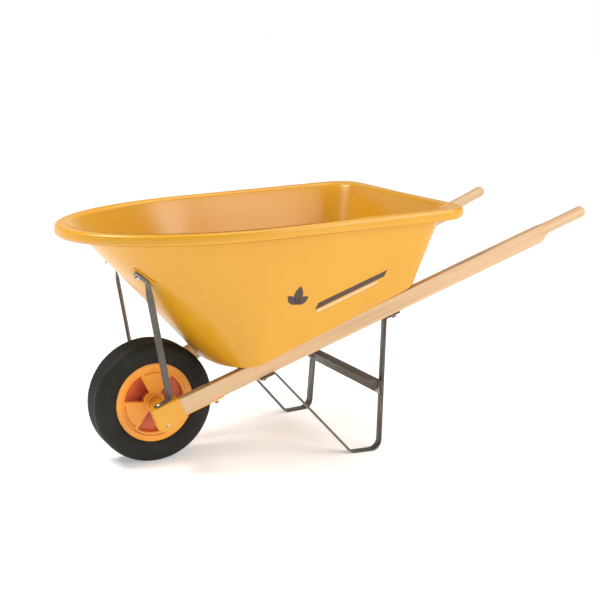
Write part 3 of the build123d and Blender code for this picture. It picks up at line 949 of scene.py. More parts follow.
    def run(
        self,
        name: str,
        tree: Any,
        carrier: bpy.types.Mesh,
        shape: bpy.types.Object | None,
        finish: bpy.types.Material,
        sizes: dict[str, float | int],
    ) -> bpy.types.Object:
        """Run a tree on a carrier mesh and keep the result as a plain mesh.

        Args:
            name: Name of the finished object.
            tree: One of this class's trees.
            carrier: Mesh that the tree starts from.
            shape: Template object, removed afterwards, or None for a sweep.
            finish: Material of the result.
            sizes: Values of the tree's named sizes.

        Returns:
            The finished object, with no modifier left.
        """
        piece = new_object(name, carrier)
        modifier = piece.modifiers.new(tree.name, "NODES")
        modifier.node_group = tree
        values = {"Finish": finish, **sizes}
        if shape is not None:
            values["Shape"] = shape
        for socket in tree.interface.items_tree:
            if socket.in_out == "INPUT" and socket.name in values:
                modifier[socket.identifier] = values[socket.name]
        settle(piece)
        if shape is not None:
            bpy.data.objects.remove(shape)
        return piece


def points_mesh(name: str, places: Sequence[Matrix]) -> bpy.types.Mesh:
    """A mesh of loose points that carry their turn.

    Args:
        name: The mesh's name.
        places: Place and turn of each point.

    Returns:
        The mesh, with a "turn" attribute of Euler angles.
    """
    mesh = bpy.data.meshes.new(name)
    mesh.from_pydata([place.to_translation() for place in places], [], [])
    turns = mesh.attributes.new("turn", "FLOAT_VECTOR", "POINT")
    for item, place in zip(turns.data, places):
        item.vector = place.to_euler()
    return mesh


# ---- tub ----
@dataclass(frozen=True)
class Outline:
    """Half-elliptical nose, straight sides and a straight back with round corners, on a plane."""

    front: float
    nose_centre: float
    rear: float
    half_width: float
    corner: float
    plane: Matrix
    nose_spans: int = 64
    side_spans: int = 20
    corner_spans: int = 10
    back_spans: int = 14

    def ring(self, inset: float = 0.0, lift: float = 0.0) -> Ring:
        """Points of the outline.

        Args:
            inset: Distance inside the outline.
            lift: Distance above the plane.

        Returns:
            Points from the right-hand end of the nose, round the nose, the left, the back and the right.
        """
        side = self.half_width - inset
        back = self.rear - inset
        corner = self.corner - inset
        nose = self.nose_centre - self.front - inset
        points = []
        for step in range(self.nose_spans):
            angle = math.pi * (0.5 + step / self.nose_spans)
            points.append((self.nose_centre + nose * math.cos(angle), side * math.sin(angle)))
        points += self._line((self.nose_centre, -side), (back - corner, -side), self.side_spans)
        points += self._corner((back - corner, corner - side), corner, -0.5)
        points += self._line((back, corner - side), (back, side - corner), self.back_spans)
        points += self._corner((back - corner, side - corner), corner, 0.0)
        points += self._line((back - corner, side), (self.nose_centre, side), self.side_spans)
        return [self.plane @ Vector((x, y, lift)) for x, y in points]

    @staticmethod
    def _line(start: Place, end: Place, spans: int) -> list[Place]:
        """Points of a straight stretch.

        Args:
            start: Its first point.
            end: The point after its last one.
            spans: Number of spans.

        Returns:
            Its points, without the end.
        """
        return [
            (start[0] + (end[0] - start[0]) * step / spans, start[1] + (end[1] - start[1]) * step / spans)
            for step in range(spans)
        ]

    def _corner(self, centre: Place, radius: float, start: float) -> list[Place]:
        """Points of a quarter round.

        Args:
            centre: Middle of the round.
            radius: Its radius.
            start: Angle of its first point, as a share of pi.

        Returns:
            Its points, without the last one.
        """
        points = []
        for step in range(self.corner_spans):
            angle = math.pi * (start + 0.5 * step / self.corner_spans)
            points.append((centre[0] + radius * math.cos(angle), centre[1] + radius * math.sin(angle)))
        return points


def tilted_plane(origin: Vector, pitch: float) -> Matrix:
    """A plane through a point whose local X climbs to the rear by a pitch."""
    return Matrix.Translation(origin) @ Matrix.Rotation(-pitch, 4, "Y")


@dataclass
class Rails:
    """The two wooden rails that are also the handles.

    full_round is the corner radius of a round section as a share of its half-width; it stays under 1 so that
    no two points of the section meet.
    """

    axle: Vector
    tip_x: float
    pitch: float = math.radians(20.24)
    splay: float = math.radians(5.06)
    height: float = 0.046
    width: float = 0.026
    offset: float = 0.1435
    rise: float = 0.003
    edge: float = 0.003
    start: float = 0.014
    grip_radius: float = 0.0165
    grip_length: float = 0.112
    grip_taper: float = 0.040
    grip_waist: float = 0.025
    full_round: float = 0.999
    section_points: int = 48
    stock_rows: int = 28
    taper_rows: int = 15
    grip_rows: int = 9
    end_rows: int = 10

    def frame(self, side: Side) -> Matrix:
        """A rail's own frame.

        Args:
            side: Side of the barrow.

        Returns:
            The frame, with local X along the rail, local Y to +Y and local Z up.
        """
        place = Matrix.Translation((self.axle.x, side.value * self.offset, self.axle.z + self.rise))
        turn = Matrix.Rotation(side.value * self.splay, 4, "Z")
        return place @ turn @ Matrix.Rotation(-self.pitch, 4, "Y")

    def end(self) -> float:
        """Find where the grip's round end begins.

        Returns:
            Station of the round end's centre.
        """
        rise = self.height / 2 - self.grip_radius
        plan = self.tip_x - self.grip_radius - self.axle.x
        return (plan + rise * math.sin(self.pitch) * math.cos(self.splay)) / (
            math.cos(self.pitch) * math.cos(self.splay)
        )

    def section(self, half_width: float, half_height: float, corner: float, middle: float) -> list[Vector]:
        """A rounded rectangle across the rail, at station 0.

        Args:
            half_width: Half its width.
            half_height: Half its height.
            corner: Radius of its corners.
            middle: Height of its middle over the rail's axis.

        Returns:
            section_points points.
        """
        quarter = self.section_points // 4
        points = []
        for number, (right, up) in enumerate(((1, 1), (-1, 1), (-1, -1), (1, -1))):
            centre = Vector((0, right * (half_width - corner), up * (half_height - corner) + middle))
            for step in range(quarter):
                angle = math.pi / 2 * (number + step / (quarter - 1))
                points.append(centre + Vector((0, math.cos(angle), math.sin(angle))) * corner)
        return points

    def rings(self) -> list[Ring]:
        """Sections of a rail in its own frame.

        Returns:
            The sections, from the bracket to the tip.
        """
        top = self.height / 2
        end = self.end()
        stock_end = end - self.grip_length
        shapes: list[tuple[float, float, float, float, float]] = []
        for station in np.linspace(self.start, stock_end - self.grip_taper, self.stock_rows):
            shapes.append((station, self.width / 2, top, self.edge, 0.0))
        for share in np.linspace(0.0, 1.0, self.taper_rows)[1:]:
            ease = share * share * (3 - 2 * share)
            half_width = self.width / 2 + (self.grip_radius - self.width / 2) * ease
            half_height = top + (self.grip_radius - top) * ease
            corner = self.edge + (self.grip_radius - self.edge) * ease
            station = stock_end - self.grip_taper * (1 - share)
            shapes.append((station, half_width, half_height, corner * self.full_round, top - half_height))
        middle = top - self.grip_radius
        for share in np.linspace(0.0, 1.0, self.grip_rows)[1:]:
            station = stock_end + self.grip_length * share
            waist = self.grip_radius * (1 - self.grip_waist * math.sin(math.pi * share))
            shapes.append((station, waist, waist, waist * self.full_round, middle))
        for step in range(1, self.end_rows):
            angle = math.pi / 2 * step / self.end_rows
            station = end + self.grip_radius * math.sin(angle)
            tip = self.grip_radius * math.cos(angle)
            shapes.append((station, tip, tip, tip * self.full_round, middle))
        return [
            [Vector((station, 0, 0)) + point for point in self.section(wide, tall, corner, centre)]
            for station, wide, tall, corner, centre in shapes
        ]

    def build(self, workshop: Workshop) -> None:
        """Build and dress both rails.

        Args:
            workshop: Dresses and places the pieces.
        """
        for side in Side:
            finish = "rail_wood_" + side.word
            workshop.add(finish, RailWood(finish, self.pitch, side.value * self.splay))
            work = bmesh.new()
            frame = self.frame(side)
            skin(work, [[frame @ point for point in ring] for ring in self.rings()])
            piece = mesh_object("wooden_rail_" + side.word, work, 50.0)
            workshop.place(piece, finish, "rail_wood", stands_for=["rail_" + side.word])


@dataclass
class Tub:
    """The moulded tub, its lip, the pads under its nose and the seats on the rails."""

    rails: Rails
    nose_x: float
    wall: float = 0.005
    rim_slope: float = 0.03
    rim_rear_z: float = 0.680
    rim_nose_centre: float = 0.236
    rim_rear: float = 0.792
    rim_half_width: float = 0.347
    rim_corner: float = 0.068
    lip_width: float = 0.027
    lip_nose_width: float = 0.038
    lip_drop: float = 0.028
    lip_thickness: float = 0.0045
    bead: float = 0.0115
    roll: float = 0.0105
    dish: float = 0.0016
    mouth_corner: float = 0.100
    floor_front: float = 0.171
    floor_nose_centre: float = 0.257
    floor_rear: float = 0.749
    floor_half_width: float = 0.224
    floor_corner: float = 0.046
    floor_round: float = 0.022
    floor_gap: float = 0.0025
    wall_rows: int = 14
    seat_depth: float = 0.0055
    pad_rise: float = 0.003
    pad_length: float = 0.066
    pad_width: float = 0.030
    seat_front: float = 0.237
    seat_back: float = 0.708
    block_round: float = 0.35
    strut_angle: float = math.radians(24.2)
    strut_height: float = 0.70
    strut_back: float = 0.013
    rim: Outline = field(init=False)
    mouth: Outline = field(init=False)
    floor: Outline = field(init=False)

    def __post_init__(self) -> None:
        """Work out the rim, mouth and floor outlines."""
        rails = self.rails
        slope = math.tan(rails.pitch) / math.cos(rails.splay)
        pitch = math.atan(slope)
        top = rails.height / 2
        lift = top * (math.cos(rails.pitch) + math.sin(rails.pitch) * math.cos(rails.splay) * slope)
        height = rails.axle.z + rails.rise + lift + self.floor_gap / math.cos(pitch)
        floor_plane = tilted_plane(Vector((rails.axle.x, 0, height)), pitch)
        self.floor = Outline(
            self.floor_front,
            self.floor_nose_centre,
            self.floor_rear,
            self.floor_half_width,
            self.floor_corner,
            floor_plane,
        )
        rim_pitch = math.atan(self.rim_slope)
        rear_x = rails.axle.x + self.rim_rear
        rim_plane = tilted_plane(Vector((rear_x, 0, self.rim_rear_z)), rim_pitch)
        front = (self.nose_x - rear_x) / math.cos(rim_pitch)
        centre = (self.rim_nose_centre - self.rim_rear) / math.cos(rim_pitch)
        self.rim = Outline(front, centre, 0.0, self.rim_half_width, self.rim_corner, rim_plane)
        self.mouth = Outline(
            front + self.lip_nose_width,
            centre,
            -self.lip_width,
            self.rim_half_width - self.lip_width,
            self.mouth_corner,
            rim_plane,
        )

    def wall_column(self, foot: Vector, corner: Vector, top: Vector, fillet: float) -> list[Vector]:
        """Points from the floor, round its edge and up one wall, without the top.

        Args:
            foot: Point on the floor, inside the corner.
            corner: Where floor and wall would meet.
            top: Upper end of the wall.
            fillet: Radius of the edge between them.

        Returns:
            The points in order.
        """
        turn = (corner - foot).angle(top - corner)
        reach = fillet * math.tan(turn / 2)
        column = arc(foot, corner, top, reach, 7)
        start = column[-1]
        column += [start.lerp(top, row / self.wall_rows) for row in range(1, self.wall_rows)]
        return column

    def lip_column(self, wall_top: Vector, rim: Vector, inner_top: Vector, inner_low: Vector) -> list[Vector]:
        """Points round the lip, from the outer wall's top to the inner wall.

        Args:
            wall_top: Where the outer wall reaches the rim plane.
            rim: The lip's outer edge on the rim plane.
            inner_top: Where the inner wall reaches the rim plane.
            inner_low: A lower point on the inner wall.

        Returns:
            The points in order.
        """
        width = (rim - wall_top).length
        climb = (rim - wall_top) / width
        down = Vector((0, 0, -1))
        thick, drop = self.lip_thickness, self.lip_drop
        inner_rim = rim - climb * thick
        roll = rim - climb * self.roll
        under = wall_top + down * thick
        low = rim + down * drop
        roll_low = roll + down * drop
        # From the outer wall along the lip's underside and down the inner face of its roll.
        points = arc(under + down * drop, under, inner_rim + down * thick, thick, 4)
        points += arc(under, roll + down * thick, roll_low, thick * 0.7, 4)
        # Round the roll's lower edge and up its outer face.
        points += arc(roll, roll_low, low, self.roll * 0.45, 4)
        points += arc(roll_low, low, rim, self.roll * 0.95, 6)[1:]
        # Over the bead, along the slightly hollow top and round into the inner wall.
        points += arc(low, rim, rim - climb, self.bead, 7)
        flat = width - self.bead
        for share in (0.18, 0.36, 0.54, 0.72, 0.88):
            along = flat * (1 - share)
            hollow = math.sin(math.pi * share) * self.dish
            points.append(wall_top + climb * along + down * hollow)
        points += arc(rim, inner_top, inner_low, self.bead * 0.9, 7)
        return points

    def build(self, workshop: Workshop) -> bpy.types.Object:
        """Build and dress the shell.

        Args:
            workshop: Dresses and places the piece.

        Returns:
            The shell, which the printed marks lie on.
        """
        cut = self.floor_round
        outer = zip(self.floor.ring(cut), self.floor.ring(), self.mouth.ring(), self.rim.ring())
        wall = self.wall
        inner = zip(self.floor.ring(cut + wall, wall), self.floor.ring(wall, wall), self.mouth.ring(wall))
        columns = []
        for (foot, corner, top, rim), (inner_foot, inner_corner, inner_top) in zip(outer, inner):
            under_lip = top.lerp(corner, (self.lip_thickness * 2.2) / (top - corner).length)
            column = self.wall_column(foot, corner, under_lip, self.floor_round)
            column += self.lip_column(top, rim, inner_top, inner_corner)
            low_side = self.wall_column(inner_foot, inner_corner, column[-1], self.floor_round - wall)
            column += list(reversed(low_side))
            columns.append(column)
        rings = [[column[row] for column in columns] for row in range(len(columns[0]))]
        work = bmesh.new()
        skin(work, rings)
        piece = mesh_object("tub_shell", work, 60.0)
        workshop.place(piece, "tub_plastic", "tub_plastic", stands_for=["tub"])
        return piece

    def nose_point(self, angle: float, height: float) -> Vector:
        """Place on the right-hand nose wall.

        Args:
            angle: Angle round the nose from its tip.
            height: 0 at the floor and 1 at the mouth.

        Returns:
            The point on the wall's outer face.
        """
        ends = []
        for outline in (self.floor, self.mouth):
            reach = outline.nose_centre - outline.front
            local = (outline.nose_centre - reach * math.cos(angle), outline.half_width * math.sin(angle), 0)
            ends.append(outline.plane @ Vector(local))
        return ends[0].lerp(ends[1], height)

    def pad_frame(self, side: Side) -> Matrix:
        """Frame of a nose pad.

        Args:
            side: Side of the barrow.

        Returns:
            The frame, with local X up the strut's tab and local Z out of the wall.
        """
        step = 0.001
        place = self.nose_point(self.strut_angle, self.strut_height)
        up = self.nose_point(self.strut_angle, self.strut_height + step) - place
        along = self.nose_point(self.strut_angle + step, self.strut_height) - place
        out = up.cross(along).normalized()
        if out.x > 0:
            out = -out
        forward = Vector((-1, 0, 0))
        tab = (forward - out * forward.dot(out)).normalized()
        across = out.cross(tab)
        frame = Matrix((tab, across, out)).transposed().to_4x4()
        frame.translation = place
        if side is Side.LEFT:
            flip = Matrix.Diagonal((1, -1, 1, 1))
            frame = flip @ frame @ flip
        return frame

    def block(
        self, name: str, frame: Matrix, size: Sequence[float], middle: Sequence[float]
    ) -> bpy.types.Object:
        """A moulded block with round edges.

        Args:
            name: The object's name.
            frame: The block's frame.
            size: Its size along the frame's axes.
            middle: Its middle in the frame.

        Returns:
            The block.
        """
        work = bmesh.new()
        bmesh.ops.create_cube(work, size=1.0)
        bmesh.ops.transform(work, matrix=Matrix.Diagonal((*size, 1.0)), verts=work.verts)
        rounding = min(size) * self.block_round
        bmesh.ops.bevel(work, geom=work.edges[:], offset=rounding, segments=4, profile=0.5, affect="EDGES")
        bmesh.ops.transform(work, matrix=frame @ Matrix.Translation(middle), verts=work.verts)
        return mesh_object(name, work, 50.0)

    def build_supports(self, workshop: Workshop) -> None:
        """Build the pads for the struts and the seats on the rails.

        Args:
            workshop: Dresses and places the pieces.
        """
        top = self.rails.height / 2
        for side in Side:
            frame = self.pad_frame(side)
            size = (self.pad_length, self.pad_width, 2 * self.pad_rise)
            pad = self.block("nose_pad_" + side.word, frame, size, (-self.strut_back, 0, 0))
            workshop.place(pad, "tub_plastic", "tub_plastic")
            rail = self.rails.frame(side)
            size = (self.seat_back - self.seat_front, self.rails.width, self.seat_depth)
            middle = ((self.seat_front + self.seat_back) / 2, 0, top + self.seat_depth / 2)
            seat = self.block("rail_seat_" + side.word, rail, size, middle)
            workshop.place(seat, "tub_plastic", "tub_plastic")


@dataclass
class Marks:
    """Plain printed marks on the tub's sides: two slanted bars and three leaves."""

    shell: bpy.types.Object
    slope: float = math.radians(19.5)
    height_off: float = 0.0004
    reach: float = 1.0
    columns: int = 36
    rows: int = 6
    bar_rake: float = 0.55
    bar_lean: float = 0.3
    leaf_width: float = 0.26
    leaf_point: float = 0.8
    leaf_root: Place = (-0.190, 0.447)
    tree: BVHTree = field(init=False)

    def __post_init__(self) -> None:
        """Make the shell's search tree."""
        self.tree = BVHTree.FromObject(self.shell, bpy.context.evaluated_depsgraph_get())

    def on_wall(self, side: Side, x: float, z: float) -> Vector:
        """Place just outside the tub's side wall.

        Args:
            side: Side of the barrow.
            x: Place along the barrow.
            z: Height.

        Returns:
            The place, a film's thickness off the wall.
        """
        start = Vector((x, side.value * self.reach, z))
        place, normal, _, _ = self.tree.ray_cast(start, Vector((0, -side.value, 0)))
        return place + normal * self.height_off

    def film(self, name: str, side: Side, shape: MarkShape) -> bpy.types.Object:
        """A thin film that lies on the wall.

        Args:
            name: The object's name.
            side: Side of the barrow.
            shape: Gives x and z for a place (u, v) on the unit square.

        Returns:
            The film.
        """
        work = bmesh.new()
        grid = []
        for column in range(self.columns + 1):
            places = [shape(column / self.columns, row / self.rows) for row in range(self.rows + 1)]
            grid.append([work.verts.new(self.on_wall(side, *place)) for place in places])
        for front, rear in zip(grid, grid[1:]):
            for row in range(self.rows):
                corners = (front[row], rear[row], rear[row + 1], front[row + 1])
                work.faces.new(corners if side is Side.LEFT else reversed(corners))
        bmesh.ops.remove_doubles(work, verts=work.verts, dist=1e-5)
        mesh = bpy.data.meshes.new(name)
        work.to_mesh(mesh)
        work.free()
        mesh.shade_smooth()
        return new_object(name, mesh)

    def bar(self, start: Place, length: float, height: float) -> MarkShape:
        """A slanted bar with raked ends.

        Args:
            start: Its lower front corner.
            length: Its length.
            height: Its height.

        Returns:
            The shape.
        """
        climb, run = math.sin(self.slope), math.cos(self.slope)

        def shape(along: float, up: float) -> Place:
            """Find a place on the bar.

            Args:
                along: Share of its length.
                up: Share of its height.

            Returns:
                x and z of the place.
            """
            reach = along * length + height * self.bar_rake * up
            x = start[0] + reach * run - up * height * climb * self.bar_lean
            return x, start[1] + reach * climb + up * height * run

        return shape

    def leaf(self, length: float, lean: float) -> MarkShape:
        """A pointed leaf that grows from the leaves' root.

        Args:
            length: Its length.
            lean: Its lean from upright, to the rear.

        Returns:
            The shape.
        """
        across_x, across_z = math.cos(lean), math.sin(lean)

        def shape(along: float, across: float) -> Place:
            """Find a place on the leaf.

            Args:
                along: Share of its length.
                across: Share of its width.

            Returns:
                x and z of the place.
            """
            half = self.leaf_width * length * math.sin(math.pi * along) ** self.leaf_point
            shift = (across - 0.5) * 2 * half
            x = self.leaf_root[0] + across_z * along * length + across_x * shift
            return x, self.leaf_root[1] + across_x * along * length - across_z * shift

        return shape

    def build(self, workshop: Workshop) -> None:
        """Lay the marks on both sides.

        Args:
            workshop: Dresses and places the pieces.
        """
        shapes = {
            "mark_bar_long": ("film_dark", self.bar((-0.130, 0.425), 0.215, 0.016)),
            "mark_bar_thin": ("film_pale", self.bar((-0.124, 0.417), 0.190, 0.0045)),
            "mark_leaf_tall": ("film_dark", self.leaf(0.050, math.radians(8))),
            "mark_leaf_front": ("film_dark", self.leaf(0.038, math.radians(-48))),
            "mark_leaf_rear": ("film_dark", self.leaf(0.038, math.radians(62))),
        }
        for side in Side:
            for name, (finish, shape) in shapes.items():
                piece = self.film(name + "_" + side.word, side, shape)
                workshop.place(piece, finish, "tub_plastic")


@dataclass
class Wheel:
    """The tyre with its ribs and shoulder lugs, the hub and its bushes."""

    axle: Vector
    radius: float = 0.165
    width: float = 0.100
    crown: float = 0.056
    bead_radius: float = 0.108
    bead_width: float = 0.084
    seat_radius: float = 0.1005
    seat_width: float = 0.068
    groove_depth: float = 0.0016
    groove_slope: float = 0.0016
    centre_groove: float = 0.0024
    side_groove: float = 0.0151
    side_groove_floor: float = 0.0017
    shoulder_steps: int = 9
    wall_ring: float = 0.0008
    spans: int = 144
    lug_count: int = 72
    lug_size: tuple[float, float, float] = (0.0030, 0.0066, 0.0150)
    lug_edge: float = 0.0009
    lug_depth: float = 0.0058
    lug_offset: float = 0.0375
    lug_lean: float = math.radians(38)
    lug_tilt: float = math.radians(12)
    hub_edge: float = 0.0014
    bush_edge: float = 0.0005

    def frame(self) -> Matrix:
        """Frame of the wheel: local Z along the axle, pointing to -Y."""
        return Matrix.Translation(self.axle) @ Matrix.Rotation(math.pi / 2, 4, "X")

    def half_profile(self) -> list[Place]:
        """Half of the tyre's section.

        Returns:
            Radius and half-width of each point, from the middle of the crown to the seat.
        """
        side = self.width / 2
        crown = self.crown / 2
        widest = (self.bead_radius + self.radius) / 2
        floor = self.radius - self.groove_depth
        points = [(floor, 0.0), (floor, self.centre_groove)]
        points.append((self.radius, self.centre_groove + self.groove_slope))
        low = self.side_groove - self.side_groove_floor
        high = self.side_groove + self.side_groove_floor
        points += [(self.radius, low - self.groove_slope), (floor, low)]
        points += [(floor, high), (self.radius, high + self.groove_slope), (self.radius, crown)]
        for step in range(1, self.shoulder_steps + 1):
            angle = math.pi / 2 * step / self.shoulder_steps
            out = crown + (side - crown) * math.sin(angle)
            points.append((widest + (self.radius - widest) * math.cos(angle), out))
        ring = self.wall_ring
        wall = ((0.0040, 0.0), (0.0052, ring), (0.0066, ring), (0.0078, 0.0001), (0.0120, 0.0010))
        points += [(widest - drop, side - depth) for drop, depth in wall]
        foot = ((0.0090, 0.0042), (0.0068, 0.0050), (0.0054, 0.0064))
        points += [(self.bead_radius + rise, side - depth) for rise, depth in foot]
        bead = self.bead_width / 2
        seat = self.seat_width / 2
        points += [(self.bead_radius + 0.0016, bead + 0.0004), (self.bead_radius + 0.0002, bead - 0.0020)]
        points += [(self.bead_radius, seat), (self.seat_radius, seat - 0.0010)]
        return points

    def build_tyre(self, workshop: Workshop, repeats: Repeats) -> None:
        """Sweep the tyre.

        Args:
            workshop: Dresses and places the piece.
            repeats: Holds the sweep.
        """
        half = self.half_profile()
        profile = half + [(radius, -out) for radius, out in reversed(half[1:])]
        points = [(radius - self.bead_radius, out, 0.0) for radius, out in profile]
        count = len(points)
        section = bpy.data.meshes.new("tyre_section")
        section.from_pydata(points, [(index, (index + 1) % count) for index in range(count)], [])
        finish = workshop.materials["tyre_rubber"]
        sizes = {"Radius": self.bead_radius, "Spans": self.spans}
        swept = repeats.run("tyre_sweep", repeats.swept_round, section, None, finish, sizes)
        work = bmesh.new()
        work.from_mesh(swept.data)
        bmesh.ops.transform(work, matrix=self.frame(), verts=work.verts)
        bpy.data.objects.remove(swept)
        tyre = mesh_object("tyre_ring", work)
        workshop.place(tyre, "tyre_rubber", "tyre_rubber", WHEEL_BODY, ["tyre"])

    def lug_shape(self, sign: int) -> bpy.types.Object:
        """One lug of a shoulder, at the origin.

        Args:
            sign: 1 on the left-hand shoulder and -1 on the right-hand one.

        Returns:
            The lug.
        """
        work = bmesh.new()
        bmesh.ops.create_cube(work, size=1.0)
        bmesh.ops.transform(work, matrix=Matrix.Diagonal((*self.lug_size, 1.0)), verts=work.verts)
        edges, width = work.edges[:], self.lug_edge
        bmesh.ops.bevel(work, geom=edges, offset=width, segments=2, profile=0.5, affect="EDGES")
        lean = Matrix.Rotation(-sign * self.lug_lean, 4, "Y")
        turn = lean @ Matrix.Rotation(self.lug_tilt, 4, "X")
        bmesh.ops.transform(work, matrix=turn, verts=work.verts)
        return mesh_object("lug_shape", work, 50.0)

    def build_lugs(self, workshop: Workshop, repeats: Repeats) -> None:
        """Set the lugs round both shoulders.

        Args:
            workshop: Dresses and places the pieces.
            repeats: Holds the tree that sets them round the axle.
        """
        finish = workshop.materials["tyre_rubber"]
        for name, sign, start in (("left", 1, 0.0), ("right", -1, math.pi / self.lug_count)):
            sizes = {
                "Count": self.lug_count,
                "Radius": self.radius - self.lug_depth,
                "Lift": sign * self.lug_offset,
                "Start": start,
            }
            carrier = bpy.data.meshes.new("lugs_" + name)
            shape = self.lug_shape(sign)
            lugs = repeats.run("tyre_lugs_" + name, repeats.round_axle, carrier, shape, finish, sizes)
            lugs.data.transform(self.frame())
            workshop.place(lugs, "tyre_rubber", "tyre_rubber", WHEEL_BODY)

    def build_hub(self, workshop: Workshop) -> None:
        """Round the edges of the hub and the bushes.

        Args:
            workshop: Dresses and places the pieces.
        """
        hub = softened("hub_moulding", "wheel_hub", self.hub_edge, 3)
        workshop.place(hub, "hub_plastic", "hub_plastic", WHEEL_BODY, ["wheel_hub"])
        bushes = softened("flanged_bushes", "hub_bushes", self.bush_edge)
        workshop.place(bushes, "bush_plastic", "bush_plastic", WHEEL_BODY, ["hub_bushes"])


@dataclass
class Steelwork:
    """Legs, struts, brace, axle and brackets: CAD shapes with their edges rounded."""

    strap_edge: float = 0.0007
    brace_edge: float = 0.0006
    axle_edge: float = 0.0008
    washer_edge: float = 0.0003
    bracket_edge: float = 0.0016

    def build(self, workshop: Workshop) -> None:
        """Round and dress every piece.

        Args:
            workshop: Dresses and places the pieces.
        """
        pieces = [
            ("cross_brace", "strap_steel", self.brace_edge),
            ("axle", "axle_steel", self.axle_edge),
            ("thrust_washers", "zinc_steel", self.washer_edge),
        ]
        for side in Side:
            pieces += [(kind + "_" + side.word, "strap_steel", self.strap_edge) for kind in ("leg", "strut")]
            pieces.append(("axle_bracket_" + side.word, "bracket_plastic", self.bracket_edge))
        for node, slot, width in pieces:
            piece = softened(node + "_finished", node, width, 3 if slot == "bracket_plastic" else 2)
            workshop.place(piece, slot, slot, stands_for=[node])


